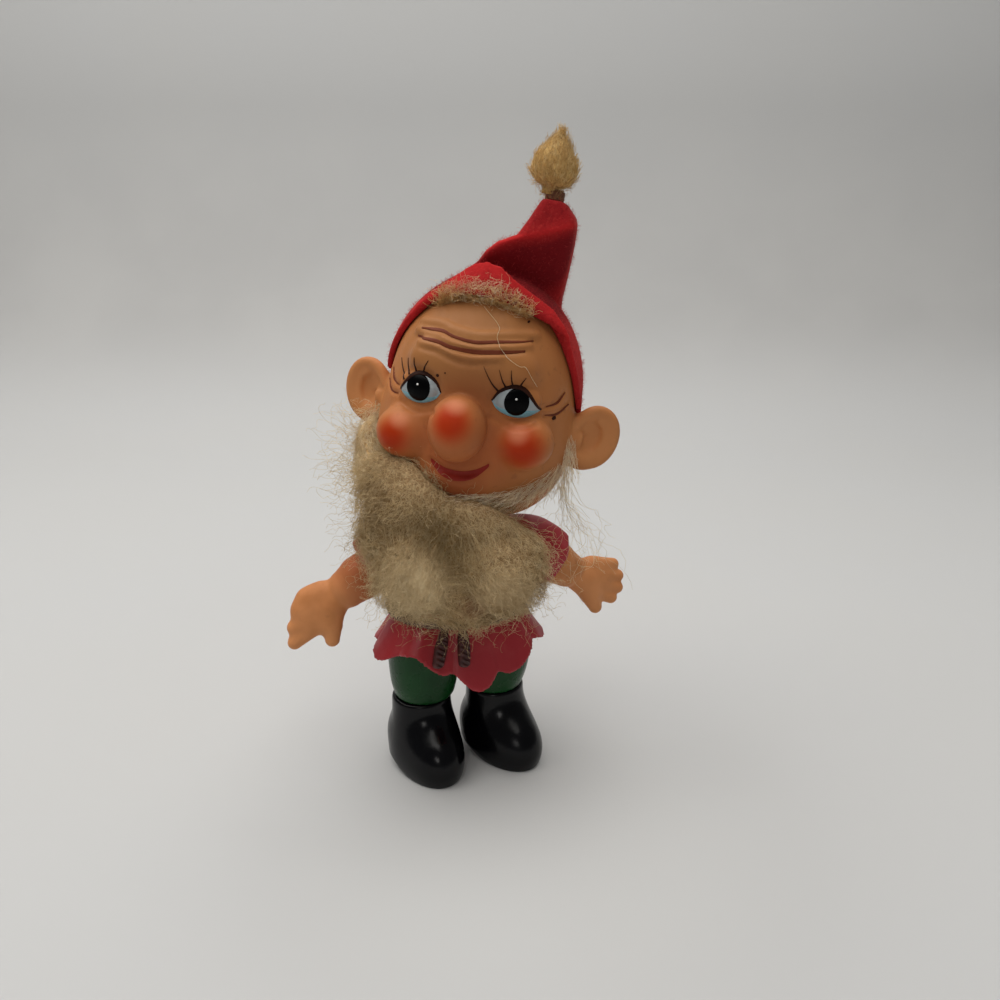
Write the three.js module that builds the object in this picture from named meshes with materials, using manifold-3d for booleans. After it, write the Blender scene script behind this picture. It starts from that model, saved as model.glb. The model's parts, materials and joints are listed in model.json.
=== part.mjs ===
// Christmas gnome figure: soft vinyl body, felt cap, wool beard, head on a coil spring.
// Millimetres, +Z up, facing -Y, standing on its boot soles, posed with the head turned and tilted.
import * as THREE from "three";
import { mergeVertices } from "three/addons/utils/BufferGeometryUtils.js";
import Module from "manifold-3d";

const wasm = await Module();
wasm.setup();

// Fits
const FIT = 0.3;
const WALL = 2;
const OVERLAP = 1;

// Boots
const BOOT_LENGTH = 28.5;
const BOOT_WIDTH = 19.2;
const BOOT_HEIGHT = 21.5;
const INSTEP_HEIGHT = 15.5;
const HEEL_LENGTH = 10;
const EDGE_HEIGHT = 4.5;
const SHAFT_RADIUS = 8.5;
const STANCE = 20.5;
const LEFT_TOE_TURN = 12;
const RIGHT_TOE_TURN = 20;
const SOLE = 2.5;

// Trousers
const LEG_RADIUS = 9;
const LEG_SHOWN = 14.5;
const PEG_RADIUS = 5.5;
const PEG_LENGTH = 8;

// Coat
const SKIRT_EASE = 4.8;
const SKIRT_LENGTH = 13;
const WAIST_RADIUS = 17.4;
const CHEST_RADIUS = 18.6;
const CHEST_RISE = 12;
const SHOULDER_RADIUS = 13;
const SHOULDER_RISE = 23;
const NECK_RADIUS = 6.4;
const NECK_RISE = 27;
const COAT_FLATNESS = 0.86;
const PETALS = 9;
const PETAL_DROP = 3;
const FRONT_DROP = 3;
const PETAL_FOLD = 1.1;
const SKIRT_HOLLOW = 0.6;

// Sleeves and arms
const SHOULDER_SPAN = 31;
const ARM_SPREAD = 53;
const ARM_FORWARD = 6;
const WRIST_BEND_LEFT = 2;
const WRIST_BEND_RIGHT = 20;
const SLEEVE_RADIUS = 8.6;
const SLEEVE_LENGTH = 12.5;
const ARM_RADIUS = 6.3;
const ARM_LENGTH = 10;
const WRIST_RADIUS = 3.9;
const STUB_RADIUS = 4.2;
const STUB_LENGTH = 6;
const HAND_LENGTH = 17;
const PALM_WIDTH = 10.4;
const PALM_DEPTH = 7;
const FINGER_RADIUS = 1.9;
const THUMB_SPREAD = 53;

// Belt
const CORD_RADIUS = 1.5;
const TASSEL_LENGTH = 9;
const TASSEL_RADIUS = 1.5;
const TASSEL_GAP = 5;
const TASSEL_SHIFT = -4;

// Neck
const WIRE = 0.8;
const COIL_RADIUS = 3.7;
const COIL_TURNS = 5;
const SPRING_LENGTH = 13;
const FLANGE = 1.2;
const BOSS_HEIGHT = 2.2;
const DISC = 2;
const PLUG_LENGTH = 7;

// Head
const JAW_WIDTH = 52;
const CRANIUM_WIDTH = 47;
const HEAD_DEPTH = 51;
const CROWN_RISE = 27.5;
const JAW_DROP = 32;
const JAW_SQUARENESS = 3;
const DISC_RISE = 13.7;
const HEAD_TURN = -26;
const HEAD_TILT = 10.5;
const HEAD_SHIFT = 2;
const NECK_OPENING = 10.5;
const EYE_SPREAD = 24.4;
const EYE_RISE = 1.5;
const EYE_WIDTH = 10.4;
const EYE_HEIGHT = 8.4;
const EYE_DEPTH = 3;
const NOSE_WIDTH = 13;
const NOSE_HEIGHT = 17.5;
const NOSE_DROP = 7;
const CHEEK_RADIUS = 8;
const CHEEK_SPREAD = 27;
const CHEEK_DROP = 11;
const CHIN_WIDTH = 18;
const CHIN_DEPTH = 12;
const CHIN_HEIGHT = 11;
const EAR_WIDTH = 13;
const EAR_HEIGHT = 16.5;
const EAR_DEPTH = 5.5;
const EAR_DROP = 8;
const EAR_BACK = 1.5;

// Cap and wool
const FELT = 1.5;
const BRIM_FRONT = 22.5;
const BRIM_SLOPE = 51;
const PEAK_RISE = 19.5;
const PEAK_LEAN = 8;
const PEAK_BACK = 3;
const PEAK_RADIUS = 11;
const TIP_RADIUS = 2.6;
const POMPON_WIDTH = 11.4;
const POMPON_HEIGHT = 13.4;
const TIE_WIDTH = 1.4;
const BEARD_WIDTH = 52;
const BEARD_LENGTH = 38;
const BEARD_DEPTH = 16;
const BEARD_CLEARANCE = 6.8;
const BELT_CLEARANCE = 5;
const BEARD_SHIFT = 3;
const FRINGE_WIDTH = 36;
const FRINGE_DROP = 3;
const LOCK_RADIUS_LEFT = 6;
const LOCK_RADIUS_RIGHT = 3;

// Heights that follow from the sizes
const hemZ = BOOT_HEIGHT + LEG_SHOWN;
const waistZ = hemZ + SKIRT_LENGTH;
const shoulderZ = waistZ + SHOULDER_RISE;
const neckZ = waistZ + NECK_RISE;
const hemRadius = STANCE / 2 + LEG_RADIUS + SKIRT_EASE;
const flangeZ = neckZ + FIT + FLANGE;
const discZ = flangeZ + SPRING_LENGTH + 2 * FIT;

// Turns a closed three.js shape into a solid
function solid(geometry) {
  const bare = geometry.clone();
  bare.deleteAttribute("normal");
  bare.deleteAttribute("uv");
  const merged = mergeVertices(bare, 1e-4);
  const vertProperties = new Float32Array(merged.attributes.position.array);
  const triVerts = new Uint32Array(merged.index.array);
  return new wasm.Manifold(new wasm.Mesh({ numProp: 3, vertProperties, triVerts }));
}

// Turns a solid back into a three.js shape
function shapeOf(manifold) {
  const mesh = manifold.getMesh();
  const geometry = new THREE.BufferGeometry();
  geometry.setAttribute("position", new THREE.BufferAttribute(new Float32Array(mesh.vertProperties), 3));
  geometry.setIndex(new THREE.BufferAttribute(new Uint32Array(mesh.triVerts), 1));
  return geometry;
}

function join(first, ...others) {
  return shapeOf(others.reduce((whole, next) => whole.add(solid(next)), solid(first)));
}

function cut(first, ...others) {
  return shapeOf(others.reduce((whole, next) => whole.subtract(solid(next)), solid(first)));
}

// Moves every point of a shape
function shaped(geometry, move) {
  const points = geometry.attributes.position;
  const point = new THREE.Vector3();
  for (let i = 0; i < points.count; i += 1) {
    point.fromBufferAttribute(points, i);
    move(point);
    points.setXYZ(i, point.x, point.y, point.z);
  }
  return geometry;
}

// Copies a shape to the other side of the figure
function mirrored(geometry) {
  const copy = geometry.clone().scale(-1, 1, 1);
  const index = copy.index.array;
  for (let i = 0; i < index.length; i += 3) {
    [index[i], index[i + 1]] = [index[i + 1], index[i]];
  }
  return copy;
}

// Ellipsoid with its poles on Z
function ellipsoid(x, y, z, around = 20, up = 14) {
  return new THREE.SphereGeometry(1, around, up).rotateX(Math.PI / 2).scale(x, y, z);
}

// Turned shape about Z from [radius, height] pairs, listed upward on the outside
function turned(pairs, around = 28) {
  const profile = pairs.map(([radius, height]) => new THREE.Vector2(radius, height));
  return new THREE.LatheGeometry(profile, around).rotateX(Math.PI / 2);
}

// Plain round bar about Z between two heights
function bar(radius, low, high, around = 24) {
  return turned([[0, low], [radius, low], [radius, high], [0, high]], around);
}

// Round rod of changing radius along a list of points, closed by its last rings
function limb(points, radii, around = 14) {
  const path = new THREE.CatmullRomCurve3(points.map((p) => new THREE.Vector3(...p)));
  const steps = (points.length - 1) * 3;
  const frames = path.computeFrenetFrames(steps, false);
  const rod = new THREE.CylinderGeometry(1, 1, 1, around, steps, false);
  const centre = new THREE.Vector3();
  return shaped(rod, (point) => {
    const t = 0.5 - point.y;
    const step = Math.round(t * steps);
    const place = t * (radii.length - 1);
    const low = Math.min(Math.floor(place), radii.length - 2);
    const radius = THREE.MathUtils.lerp(radii[low], radii[low + 1], place - low);
    path.getPoint(t, centre);
    const across = point.x * radius;
    const over = point.z * radius;
    point.copy(centre);
    point.addScaledVector(frames.normals[step], across);
    point.addScaledVector(frames.binormals[step], over);
  });
}

function material(colour, roughness, metalness = 0) {
  return new THREE.MeshStandardMaterial({ color: colour, roughness, metalness });
}

const SKIN = [0xb98560, 0.5];
const FELT_RED = [0xa32a2c, 0.95];
const WOOL = [0x9c7a4e, 0.95];
const COAT_RED = [0x7c3436, 0.5];
const TROUSER_GREEN = [0x2f4a33, 0.5];
const BOOT_BLACK = [0x111114, 0.2];
const CORD_BROWN = [0x4a2620, 0.6];
const STEEL = [0x9a9da1, 0.35, 1];

function piece(group, name, geometry, [colour, roughness, metalness]) {
  const mesh = new THREE.Mesh(geometry, material(colour, roughness, metalness));
  mesh.name = name;
  group.add(mesh);
  return mesh;
}

const figure = new THREE.Group();
figure.name = "christmas_gnome";

// Boots: a rounded foot and a short shaft, bored from the top for the ballast and the leg's peg.
// Both toes are turned towards +X, the right one further.
function bootShape() {
  const footHalf = BOOT_LENGTH / 2;
  const foot = ellipsoid(BOOT_WIDTH / 2, footHalf, INSTEP_HEIGHT - EDGE_HEIGHT, 28, 18);
  foot.translate(0, HEEL_LENGTH - footHalf, EDGE_HEIGHT);
  const shaft = turned([
    [0, EDGE_HEIGHT],
    [SHAFT_RADIUS * 0.96, EDGE_HEIGHT],
    [SHAFT_RADIUS, BOOT_HEIGHT * 0.55],
    [SHAFT_RADIUS * 1.03, BOOT_HEIGHT * 0.95],
    [SHAFT_RADIUS * 0.97, BOOT_HEIGHT],
    [0, BOOT_HEIGHT],
  ]);
  const under = new THREE.BoxGeometry(BOOT_WIDTH * 2, BOOT_LENGTH * 2, BOOT_HEIGHT);
  under.translate(0, 0, -BOOT_HEIGHT / 2);
  return cut(join(foot, shaft), under, bar(PEG_RADIUS + FIT, SOLE, BOOT_HEIGHT + OVERLAP));
}

const ballastTop = BOOT_HEIGHT - PEG_LENGTH - FIT;
for (const [side, label, turn] of [[-1, "left", LEFT_TOE_TURN], [1, "right", RIGHT_TOE_TURN]]) {
  const place = new THREE.Group();
  place.position.x = side * STANCE / 2;
  place.rotation.z = THREE.MathUtils.degToRad(turn);
  piece(place, `boot_${label}`, bootShape(), BOOT_BLACK);
  piece(place, `ballast_${label}`, bar(PEG_RADIUS, SOLE + FIT, ballastTop), STEEL);
  figure.add(place);
}

// Outer outline of the coat from the hem up to the top of the neck
const coatOutline = new THREE.SplineCurve([
  new THREE.Vector2(hemRadius, 0),
  new THREE.Vector2((hemRadius + WAIST_RADIUS) / 2 - SKIRT_HOLLOW, SKIRT_LENGTH * 0.55),
  new THREE.Vector2(WAIST_RADIUS, SKIRT_LENGTH),
  new THREE.Vector2(CHEST_RADIUS, SKIRT_LENGTH + CHEST_RISE),
  new THREE.Vector2(SHOULDER_RADIUS, SKIRT_LENGTH + SHOULDER_RISE),
  new THREE.Vector2(NECK_RADIUS, SKIRT_LENGTH + (SHOULDER_RISE + NECK_RISE) / 2),
  new THREE.Vector2(NECK_RADIUS, SKIRT_LENGTH + NECK_RISE),
]).getPoints(12);

// Half width of the coat at a height above the hem
function coatRadius(height) {
  const above = coatOutline.findIndex((p) => p.y >= height);
  if (above <= 0) return coatOutline[above < 0 ? coatOutline.length - 1 : 0].x;
  const low = coatOutline[above - 1];
  const high = coatOutline[above];
  return THREE.MathUtils.mapLinear(height, low.y, high.y, low.x, high.x);
}

// Folds and petals of the skirt, and the coat's flattened section
function drape(point) {
  const round = Math.atan2(point.x, -point.y);
  const skirt = THREE.MathUtils.clamp(1 - point.z / (SKIRT_LENGTH * 0.9), 0, 1.2);
  const petal = Math.abs(Math.cos(PETALS * round / 2));
  const swell = 1 + PETAL_FOLD / hemRadius * skirt * (2 * petal - 1);
  const front = Math.max(Math.cos(round), 0) ** 4;
  point.x *= swell;
  point.y *= swell * COAT_FLATNESS;
  point.z -= skirt * skirt * (PETAL_DROP * (petal - 0.4) + FRONT_DROP * front);
}

// Filled coat without sleeves, grown all round by a clearance
function coatBulk(grow) {
  const pairs = coatOutline.map((p) => [p.x + grow, p.y]);
  const top = coatOutline[coatOutline.length - 1].y;
  const low = -grow - PETAL_DROP;
  const bulk = turned([[0, low], [hemRadius + grow, low], ...pairs, [0, top]], 45);
  return shaped(bulk, drape).translate(0, 0, hemZ);
}

// Trousers: two legs with pegs, joined at the hips, with a plug shaped to the inside of the coat
const legLow = BOOT_HEIGHT + FIT;
const legHigh = hemZ + SKIRT_LENGTH * 0.35;
const leg = turned([
  [0, BOOT_HEIGHT - PEG_LENGTH],
  [PEG_RADIUS, BOOT_HEIGHT - PEG_LENGTH],
  [PEG_RADIUS, legLow],
  [LEG_RADIUS * 0.95, legLow],
  [LEG_RADIUS, legLow + LEG_SHOWN * 0.07],
  [LEG_RADIUS, legLow + LEG_SHOWN * 0.6],
  [LEG_RADIUS * 0.94, hemZ],
  [LEG_RADIUS * 0.75, legHigh],
  [0, legHigh],
]);
const plugLow = SKIRT_LENGTH * 0.5;
const plugEnd = SKIRT_LENGTH * 0.27;
const plugPairs = [[0, plugEnd], [(coatRadius(plugLow) - WALL) * 0.8, plugEnd]];
for (let step = 0; step <= 4; step += 1) {
  const height = THREE.MathUtils.lerp(plugLow, SKIRT_LENGTH, step / 4);
  plugPairs.push([coatRadius(height) - WALL - FIT, height]);
}
plugPairs.push([0, SKIRT_LENGTH]);
const plug = shaped(turned(plugPairs, 45), drape).translate(0, 0, hemZ);
const legLeft = leg.clone().translate(-STANCE / 2, 0, 0);
const legRight = leg.clone().translate(STANCE / 2, 0, 0);
piece(figure, "trousers", join(plug, legLeft, legRight), TROUSER_GREEN);

// Coat: an open tube with a scalloped skirt, and two sleeves bored for the arms
const rim = coatOutline.map((p) => [p.x, p.y]);
const lining = coatOutline.map((p) => [p.x - WALL, p.y]).reverse();
const coatTube = turned([...lining, ...rim, lining[0]], 45);
shaped(coatTube, drape).translate(0, 0, hemZ);

// Frame of one arm: from the shoulder outward and down
const armFrame = new THREE.Matrix4().makeRotationFromEuler(new THREE.Euler(
  THREE.MathUtils.degToRad(ARM_FORWARD),
  -THREE.MathUtils.degToRad(ARM_SPREAD),
  0,
));
armFrame.setPosition(SHOULDER_SPAN / 2, 0, shoulderZ - SLEEVE_RADIUS * 0.62);

// Short sleeve about the arm's axis, grown all round by a clearance
function sleeveShape(grow) {
  const radius = SLEEVE_RADIUS + grow;
  const length = SLEEVE_LENGTH + grow;
  return turned([
    [0, -length],
    [radius * 0.92, -length],
    [radius, -length * 0.7],
    [radius * 0.98, -length * 0.35],
    [radius * 0.85, 0],
    [radius * 0.55, radius * 0.5],
    [0, radius * 0.68],
  ], 22).applyMatrix4(armFrame);
}
const sleeve = sleeveShape(0);
const socketTop = -SLEEVE_LENGTH + STUB_LENGTH + FIT;
const socket = bar(STUB_RADIUS + FIT, -SLEEVE_LENGTH - OVERLAP, socketTop, 20).applyMatrix4(armFrame);
const bore = bar(NECK_RADIUS - WALL, waistZ, neckZ + OVERLAP);
const coat = cut(join(coatTube, sleeve, mirrored(sleeve)), socket, mirrored(socket), bore);
piece(figure, "tunic", coat, COAT_RED);

// Arms: a stub for the sleeve, a tapering forearm, a palm bent at the wrist, four fingers and a thumb
const cuff = -SLEEVE_LENGTH - FIT;
const wristZ = cuff - ARM_LENGTH;
function armShape(bend) {
  const stub = bar(STUB_RADIUS, cuff - OVERLAP, cuff + STUB_LENGTH, 16);
  const forearm = limb(
    [[0, 0, cuff], [0, 0, (cuff + wristZ) / 2], [0, 0, wristZ], [0, 0, wristZ - HAND_LENGTH * 0.18]],
    [ARM_RADIUS, ARM_RADIUS * 0.95, WRIST_RADIUS, WRIST_RADIUS],
    14,
  );
  const palm = ellipsoid(PALM_WIDTH / 2, PALM_DEPTH / 2, HAND_LENGTH * 0.36, 14, 10);
  const hand = [palm.translate(0, 0, -HAND_LENGTH * 0.34)];
  for (const [place, reach] of [[-1.5, 0.9], [-0.5, 1], [0.5, 0.98], [1.5, 0.88]]) {
    const finger = new THREE.CapsuleGeometry(FINGER_RADIUS, HAND_LENGTH * 0.4, 2, 8).rotateX(Math.PI / 2);
    finger.translate(0, 0, -HAND_LENGTH * (reach - 0.2) + FINGER_RADIUS);
    hand.push(finger.rotateY(-place * 0.2).translate(place * FINGER_RADIUS * 0.8, 0, 0));
  }
  const thumb = new THREE.CapsuleGeometry(FINGER_RADIUS, HAND_LENGTH * 0.45, 2, 8).rotateX(Math.PI / 2);
  thumb.translate(0, 0, -HAND_LENGTH * 0.36).rotateY(THREE.MathUtils.degToRad(THUMB_SPREAD));
  hand.push(thumb.translate(0, -PALM_DEPTH * 0.14, -HAND_LENGTH * 0.1));
  for (const part of hand) {
    part.rotateY(-THREE.MathUtils.degToRad(bend)).translate(0, 0, wristZ);
  }
  return join(stub, forearm, ...hand).applyMatrix4(armFrame);
}
piece(figure, "arm_right", armShape(WRIST_BEND_RIGHT), SKIN);
piece(figure, "arm_left", mirrored(armShape(WRIST_BEND_LEFT)), SKIN);

// Belt: a round cord laid into the waist, with two tassels hanging on the skirt in front
const cordSeat = WAIST_RADIUS + CORD_RADIUS + FIT / COAT_FLATNESS;
const cord = new THREE.TorusGeometry(cordSeat, CORD_RADIUS, 7, 45).scale(1, COAT_FLATNESS, 1);
piece(figure, "belt_cord", cord.translate(0, 0, waistZ), CORD_BROWN);

const coatClear = coatBulk(FIT);
const tasselTop = waistZ - CORD_RADIUS - FIT;
for (const [side, label] of [[-1, "left"], [1, "right"]]) {
  const tassel = turned([
    [0, -TASSEL_LENGTH],
    [TASSEL_RADIUS * 1.2, -TASSEL_LENGTH],
    [TASSEL_RADIUS, -TASSEL_LENGTH * 0.5],
    [TASSEL_RADIUS * 0.7, -TASSEL_LENGTH * 0.09],
    [TASSEL_RADIUS * 0.5, 0],
    [0, 0],
  ], 14);
  const flare = Math.atan((hemRadius - WAIST_RADIUS) * COAT_FLATNESS / SKIRT_LENGTH);
  tassel.rotateX(-flare).rotateY(-side * 0.1);
  tassel.translate(TASSEL_SHIFT + side * TASSEL_GAP / 2, -cordSeat * COAT_FLATNESS, tasselTop);
  piece(figure, `belt_tassel_${label}`, cut(tassel, coatClear), CORD_BROWN);
}

// Neck: a plug that turns in the coat, a spring on its boss, a disc in the head on the other end
const neckBore = NECK_RADIUS - WALL;
const bossRadius = COIL_RADIUS - WIRE / 2 - FIT;
piece(figure, "neck_plug", turned([
  [0, neckZ - PLUG_LENGTH],
  [neckBore - FIT, neckZ - PLUG_LENGTH],
  [neckBore - FIT, neckZ + FIT],
  [NECK_RADIUS - FIT, neckZ + FIT],
  [NECK_RADIUS - FIT, flangeZ],
  [bossRadius, flangeZ],
  [bossRadius, flangeZ + BOSS_HEIGHT],
  [0, flangeZ + BOSS_HEIGHT],
]), BOOT_BLACK);

// Middle line of the spring, bent from the neck over to the tilted head
const tilt = THREE.MathUtils.degToRad(HEAD_TILT);
const headUp = new THREE.Vector3(Math.sin(tilt), 0, Math.cos(tilt));
const seatGap = WIRE / 2 + FIT;
const springLow = new THREE.Vector3(0, 0, seatGap);
const discSeat = headUp.clone().multiplyScalar(discZ - flangeZ).add(new THREE.Vector3(HEAD_SHIFT, 0, 0));
const springHigh = discSeat.clone().addScaledVector(headUp, -seatGap);
const springLine = new THREE.CubicBezierCurve3(
  springLow,
  springLow.clone().add(new THREE.Vector3(0, 0, SPRING_LENGTH / 3)),
  springHigh.clone().addScaledVector(headUp, -SPRING_LENGTH / 3),
  springHigh,
);

// Spring: one wire wound round the bent line, its ends run straight for one wire diameter
class Coil extends THREE.Curve {
  getPoint(t, target = new THREE.Vector3()) {
    const turn = t * COIL_TURNS * 2 * Math.PI;
    const along = springLine.getTangent(t);
    springLine.getPoint(t, target);
    target.x += COIL_RADIUS * Math.cos(turn) * along.z;
    target.z -= COIL_RADIUS * Math.cos(turn) * along.x;
    target.y += COIL_RADIUS * Math.sin(turn);
    return target;
  }
}
const curls = new Coil().getPoints(COIL_TURNS * 8);
const lead = curls[0].clone().add(new THREE.Vector3(0, -WIRE, 0));
const tail = curls[curls.length - 1].clone().add(new THREE.Vector3(0, WIRE, 0));
const wirePath = new THREE.CatmullRomCurve3([lead, ...curls, tail]);
const wireSection = new THREE.Shape();
for (let side = 0; side < 5; side += 1) {
  const angle = side * 2 * Math.PI / 5;
  const corner = [Math.cos(angle) * WIRE / 2, Math.sin(angle) * WIRE / 2];
  if (side === 0) wireSection.moveTo(...corner);
  else wireSection.lineTo(...corner);
}
const wire = new THREE.ExtrudeGeometry(wireSection, {
  steps: COIL_TURNS * 8 + 2,
  extrudePath: wirePath,
  bevelEnabled: false,
});

// Least gap between the wire's own turns
function wireGap() {
  const points = wirePath.getSpacedPoints(COIL_TURNS * 60);
  const near = Math.ceil(points.length / COIL_TURNS / 2);
  let least = Infinity;
  for (let i = 0; i < points.length; i += 1) {
    for (let j = i + near; j < points.length; j += 1) {
      least = Math.min(least, points[i].distanceTo(points[j]) - WIRE);
    }
  }
  return least;
}
console.log(`least gap between the spring's turns: ${wireGap().toFixed(2)} mm`);

// Frame of the neck, turned with the plug, and in it the head's own frame, tilted on the bent spring
const discDrop = JAW_DROP - DISC_RISE;
const neck = new THREE.Group();
neck.position.z = flangeZ;
neck.rotation.z = THREE.MathUtils.degToRad(HEAD_TURN);
piece(neck, "neck_spring", wire, STEEL);
figure.add(neck);
const head = new THREE.Group();
head.rotation.y = tilt;
head.position.copy(discSeat).addScaledVector(headUp, discDrop);
neck.add(head);

// Skull: a pear with a square jaw, grown or shrunk by a wall
function skull(grow, around = 28, up = 18) {
  return shaped(ellipsoid(1, 1, 1, around, up), (point) => {
    const level = Math.min(Math.abs(point.z), 1);
    const plain = Math.sqrt(Math.max(1 - level * level, 0));
    const square = Math.max(1 - level ** JAW_SQUARENESS, 0) ** (1 / JAW_SQUARENESS);
    const full = point.z < 0 && plain > 1e-6 ? square / plain : 1;
    const jaw = THREE.MathUtils.smoothstep(-point.z, -0.15, 0.45);
    point.x *= full * (THREE.MathUtils.lerp(CRANIUM_WIDTH, JAW_WIDTH, jaw) / 2 + grow);
    point.y *= full * (HEAD_DEPTH / 2 + grow);
    point.z *= (point.z > 0 ? CROWN_RISE : JAW_DROP) + grow;
  });
}

// Ear: a flat cup that stands out sideways
function earShape(grow) {
  const lobe = ellipsoid(EAR_WIDTH / 2 + grow, EAR_DEPTH / 2 + grow, EAR_HEIGHT / 2 + grow, 14, 10);
  const hollow = ellipsoid(EAR_WIDTH * 0.32, EAR_DEPTH * 0.4, EAR_HEIGHT * 0.34, 12, 8);
  hollow.translate(EAR_WIDTH * 0.05, -EAR_DEPTH * 0.52, EAR_HEIGHT * 0.02);
  const ear = grow > 0 ? lobe : cut(lobe, hollow);
  ear.rotateZ(0.3).rotateY(0.12);
  return ear.translate(JAW_WIDTH / 2 + EAR_WIDTH * 0.27, EAR_BACK, -EAR_DROP);
}

// Outside of the head with all that is moulded on it
function headOutside(grow) {
  const nose = ellipsoid(NOSE_WIDTH / 2 + grow, NOSE_WIDTH / 2 + grow, NOSE_HEIGHT / 2 + grow, 14, 10);
  nose.rotateX(0.12).translate(0, -HEAD_DEPTH / 2 - NOSE_WIDTH * 0.14, -NOSE_DROP);
  const cheek = ellipsoid(CHEEK_RADIUS + grow, CHEEK_RADIUS * 0.85 + grow, CHEEK_RADIUS + grow, 14, 10);
  cheek.translate(CHEEK_SPREAD / 2, -HEAD_DEPTH * 0.375, -CHEEK_DROP);
  const chin = ellipsoid(CHIN_WIDTH / 2 + grow, CHIN_DEPTH / 2 + grow, CHIN_HEIGHT / 2 + grow, 12, 8);
  chin.translate(0, -HEAD_DEPTH * 0.38, -JAW_DROP * 0.66);
  const ear = earShape(grow);
  return join(skull(grow), nose, cheek, mirrored(cheek), chin, ear, mirrored(ear));
}

const eyeSocket = ellipsoid(EYE_WIDTH / 2, EYE_DEPTH, EYE_HEIGHT / 2, 14, 10);
const faceDepth = HEAD_DEPTH / 2 * Math.sqrt(1 - (EYE_SPREAD / CRANIUM_WIDTH) ** 2);
eyeSocket.rotateZ(-0.42).translate(EYE_SPREAD / 2, -faceDepth - EYE_DEPTH * 0.53, EYE_RISE);
const opening = bar(NECK_OPENING, -JAW_DROP * 2, -JAW_DROP / 2);
const hollow = skull(-WALL, 20, 14);
const headCut = cut(headOutside(0), hollow, opening, eyeSocket, mirrored(eyeSocket));
piece(head, "head_shell", headCut, SKIN);

// Disc that carries the head on the spring, shaped to the inside of the jaw
const discSlab = bar(JAW_WIDTH, -discDrop, -discDrop + DISC);
const discRound = shapeOf(solid(skull(-WALL - FIT, 20, 14)).intersect(solid(discSlab)));
const discBoss = bar(bossRadius, -discDrop - BOSS_HEIGHT, -discDrop + DISC / 2);
piece(head, "head_disc", join(discRound, discBoss), BOOT_BLACK);

// Felt cap: follows the skull above a sloping brim and rises to a bent point
const brimTilt = THREE.MathUtils.degToRad(BRIM_SLOPE);
const belowBrim = new THREE.BoxGeometry(JAW_WIDTH * 3, HEAD_DEPTH * 3, JAW_DROP * 4);
belowBrim.translate(0, 0, -JAW_DROP * 2).rotateX(-brimTilt);
const brimReach = HEAD_DEPTH / 2 * Math.sqrt(1 - (BRIM_FRONT / CROWN_RISE) ** 2);
belowBrim.translate(0, -brimReach, BRIM_FRONT);
const crown = CROWN_RISE;
function peak(shrink) {
  const radii = [PEAK_RADIUS * 1.25, PEAK_RADIUS, PEAK_RADIUS * 0.62, TIP_RADIUS * 1.5, TIP_RADIUS];
  return limb([
    [PEAK_LEAN * 0.25, PEAK_BACK, crown - PEAK_RISE * 0.5],
    [PEAK_LEAN * 0.55, PEAK_BACK, crown],
    [PEAK_LEAN * 0.95, PEAK_BACK / 2, crown + PEAK_RISE * 0.5],
    [PEAK_LEAN, 0, crown + PEAK_RISE * 0.8],
    [PEAK_LEAN, 0, crown + PEAK_RISE - shrink],
  ], radii.map((radius) => radius - shrink), 16);
}
const ears = [earShape(FIT * 1.4), mirrored(earShape(FIT * 1.4))];
const cap = cut(join(skull(FIT + FELT), peak(0)), skull(FIT), peak(FELT), belowBrim, ...ears);
piece(head, "felt_hat", cap, FELT_RED);

// Thread and tuft at the end of the cap
const tip = new THREE.Group();
tip.position.set(PEAK_LEAN, 0, crown + PEAK_RISE + FIT);
const tieRadius = TIP_RADIUS * 0.95;
piece(tip, "pompon_tie", bar(tieRadius, FIT, TIE_WIDTH + FIT, 18), CORD_BROWN);
const tuftLow = TIE_WIDTH + 2 * FIT;
const tuft = turned([
  [0, tuftLow],
  [tieRadius, tuftLow],
  [POMPON_WIDTH * 0.4, tuftLow + POMPON_HEIGHT * 0.16],
  [POMPON_WIDTH * 0.5, tuftLow + POMPON_HEIGHT * 0.4],
  [POMPON_WIDTH * 0.42, tuftLow + POMPON_HEIGHT * 0.66],
  [POMPON_WIDTH * 0.2, tuftLow + POMPON_HEIGHT * 0.88],
  [0, tuftLow + POMPON_HEIGHT],
], 20);
piece(tip, "pompon", tuft, WOOL);
head.add(tip);

// Wool: a fringe under the brim, the beard and the two locks beside it, all cut clear of the head
const fringeSlab = new THREE.BoxGeometry(FRINGE_WIDTH, HEAD_DEPTH, FRINGE_DROP);
fringeSlab.translate(0, -HEAD_DEPTH * 0.2, -FRINGE_DROP / 2 - FIT).rotateX(-brimTilt);
fringeSlab.translate(0, -brimReach, BRIM_FRONT);
const fringeBand = solid(cut(skull(FIT + FELT), skull(FIT)));
piece(head, "forehead_hair", shapeOf(fringeBand.intersect(solid(fringeSlab))), WOOL);

figure.updateMatrixWorld(true);
const intoHead = head.matrixWorld.clone().invert();
const headClear = headOutside(FIT);
const sleeveClear = sleeveShape(BEARD_CLEARANCE);
const beltReach = cordSeat + CORD_RADIUS + BELT_CLEARANCE;
const beltTop = waistZ + CORD_RADIUS * 2.5;
const beltClear = bar(beltReach, waistZ - SKIRT_LENGTH, beltTop, 32).scale(1, COAT_FLATNESS, 1);
const coatSwing = join(coatBulk(BEARD_CLEARANCE), beltClear, sleeveClear, mirrored(sleeveClear));
coatSwing.applyMatrix4(intoHead);

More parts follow.
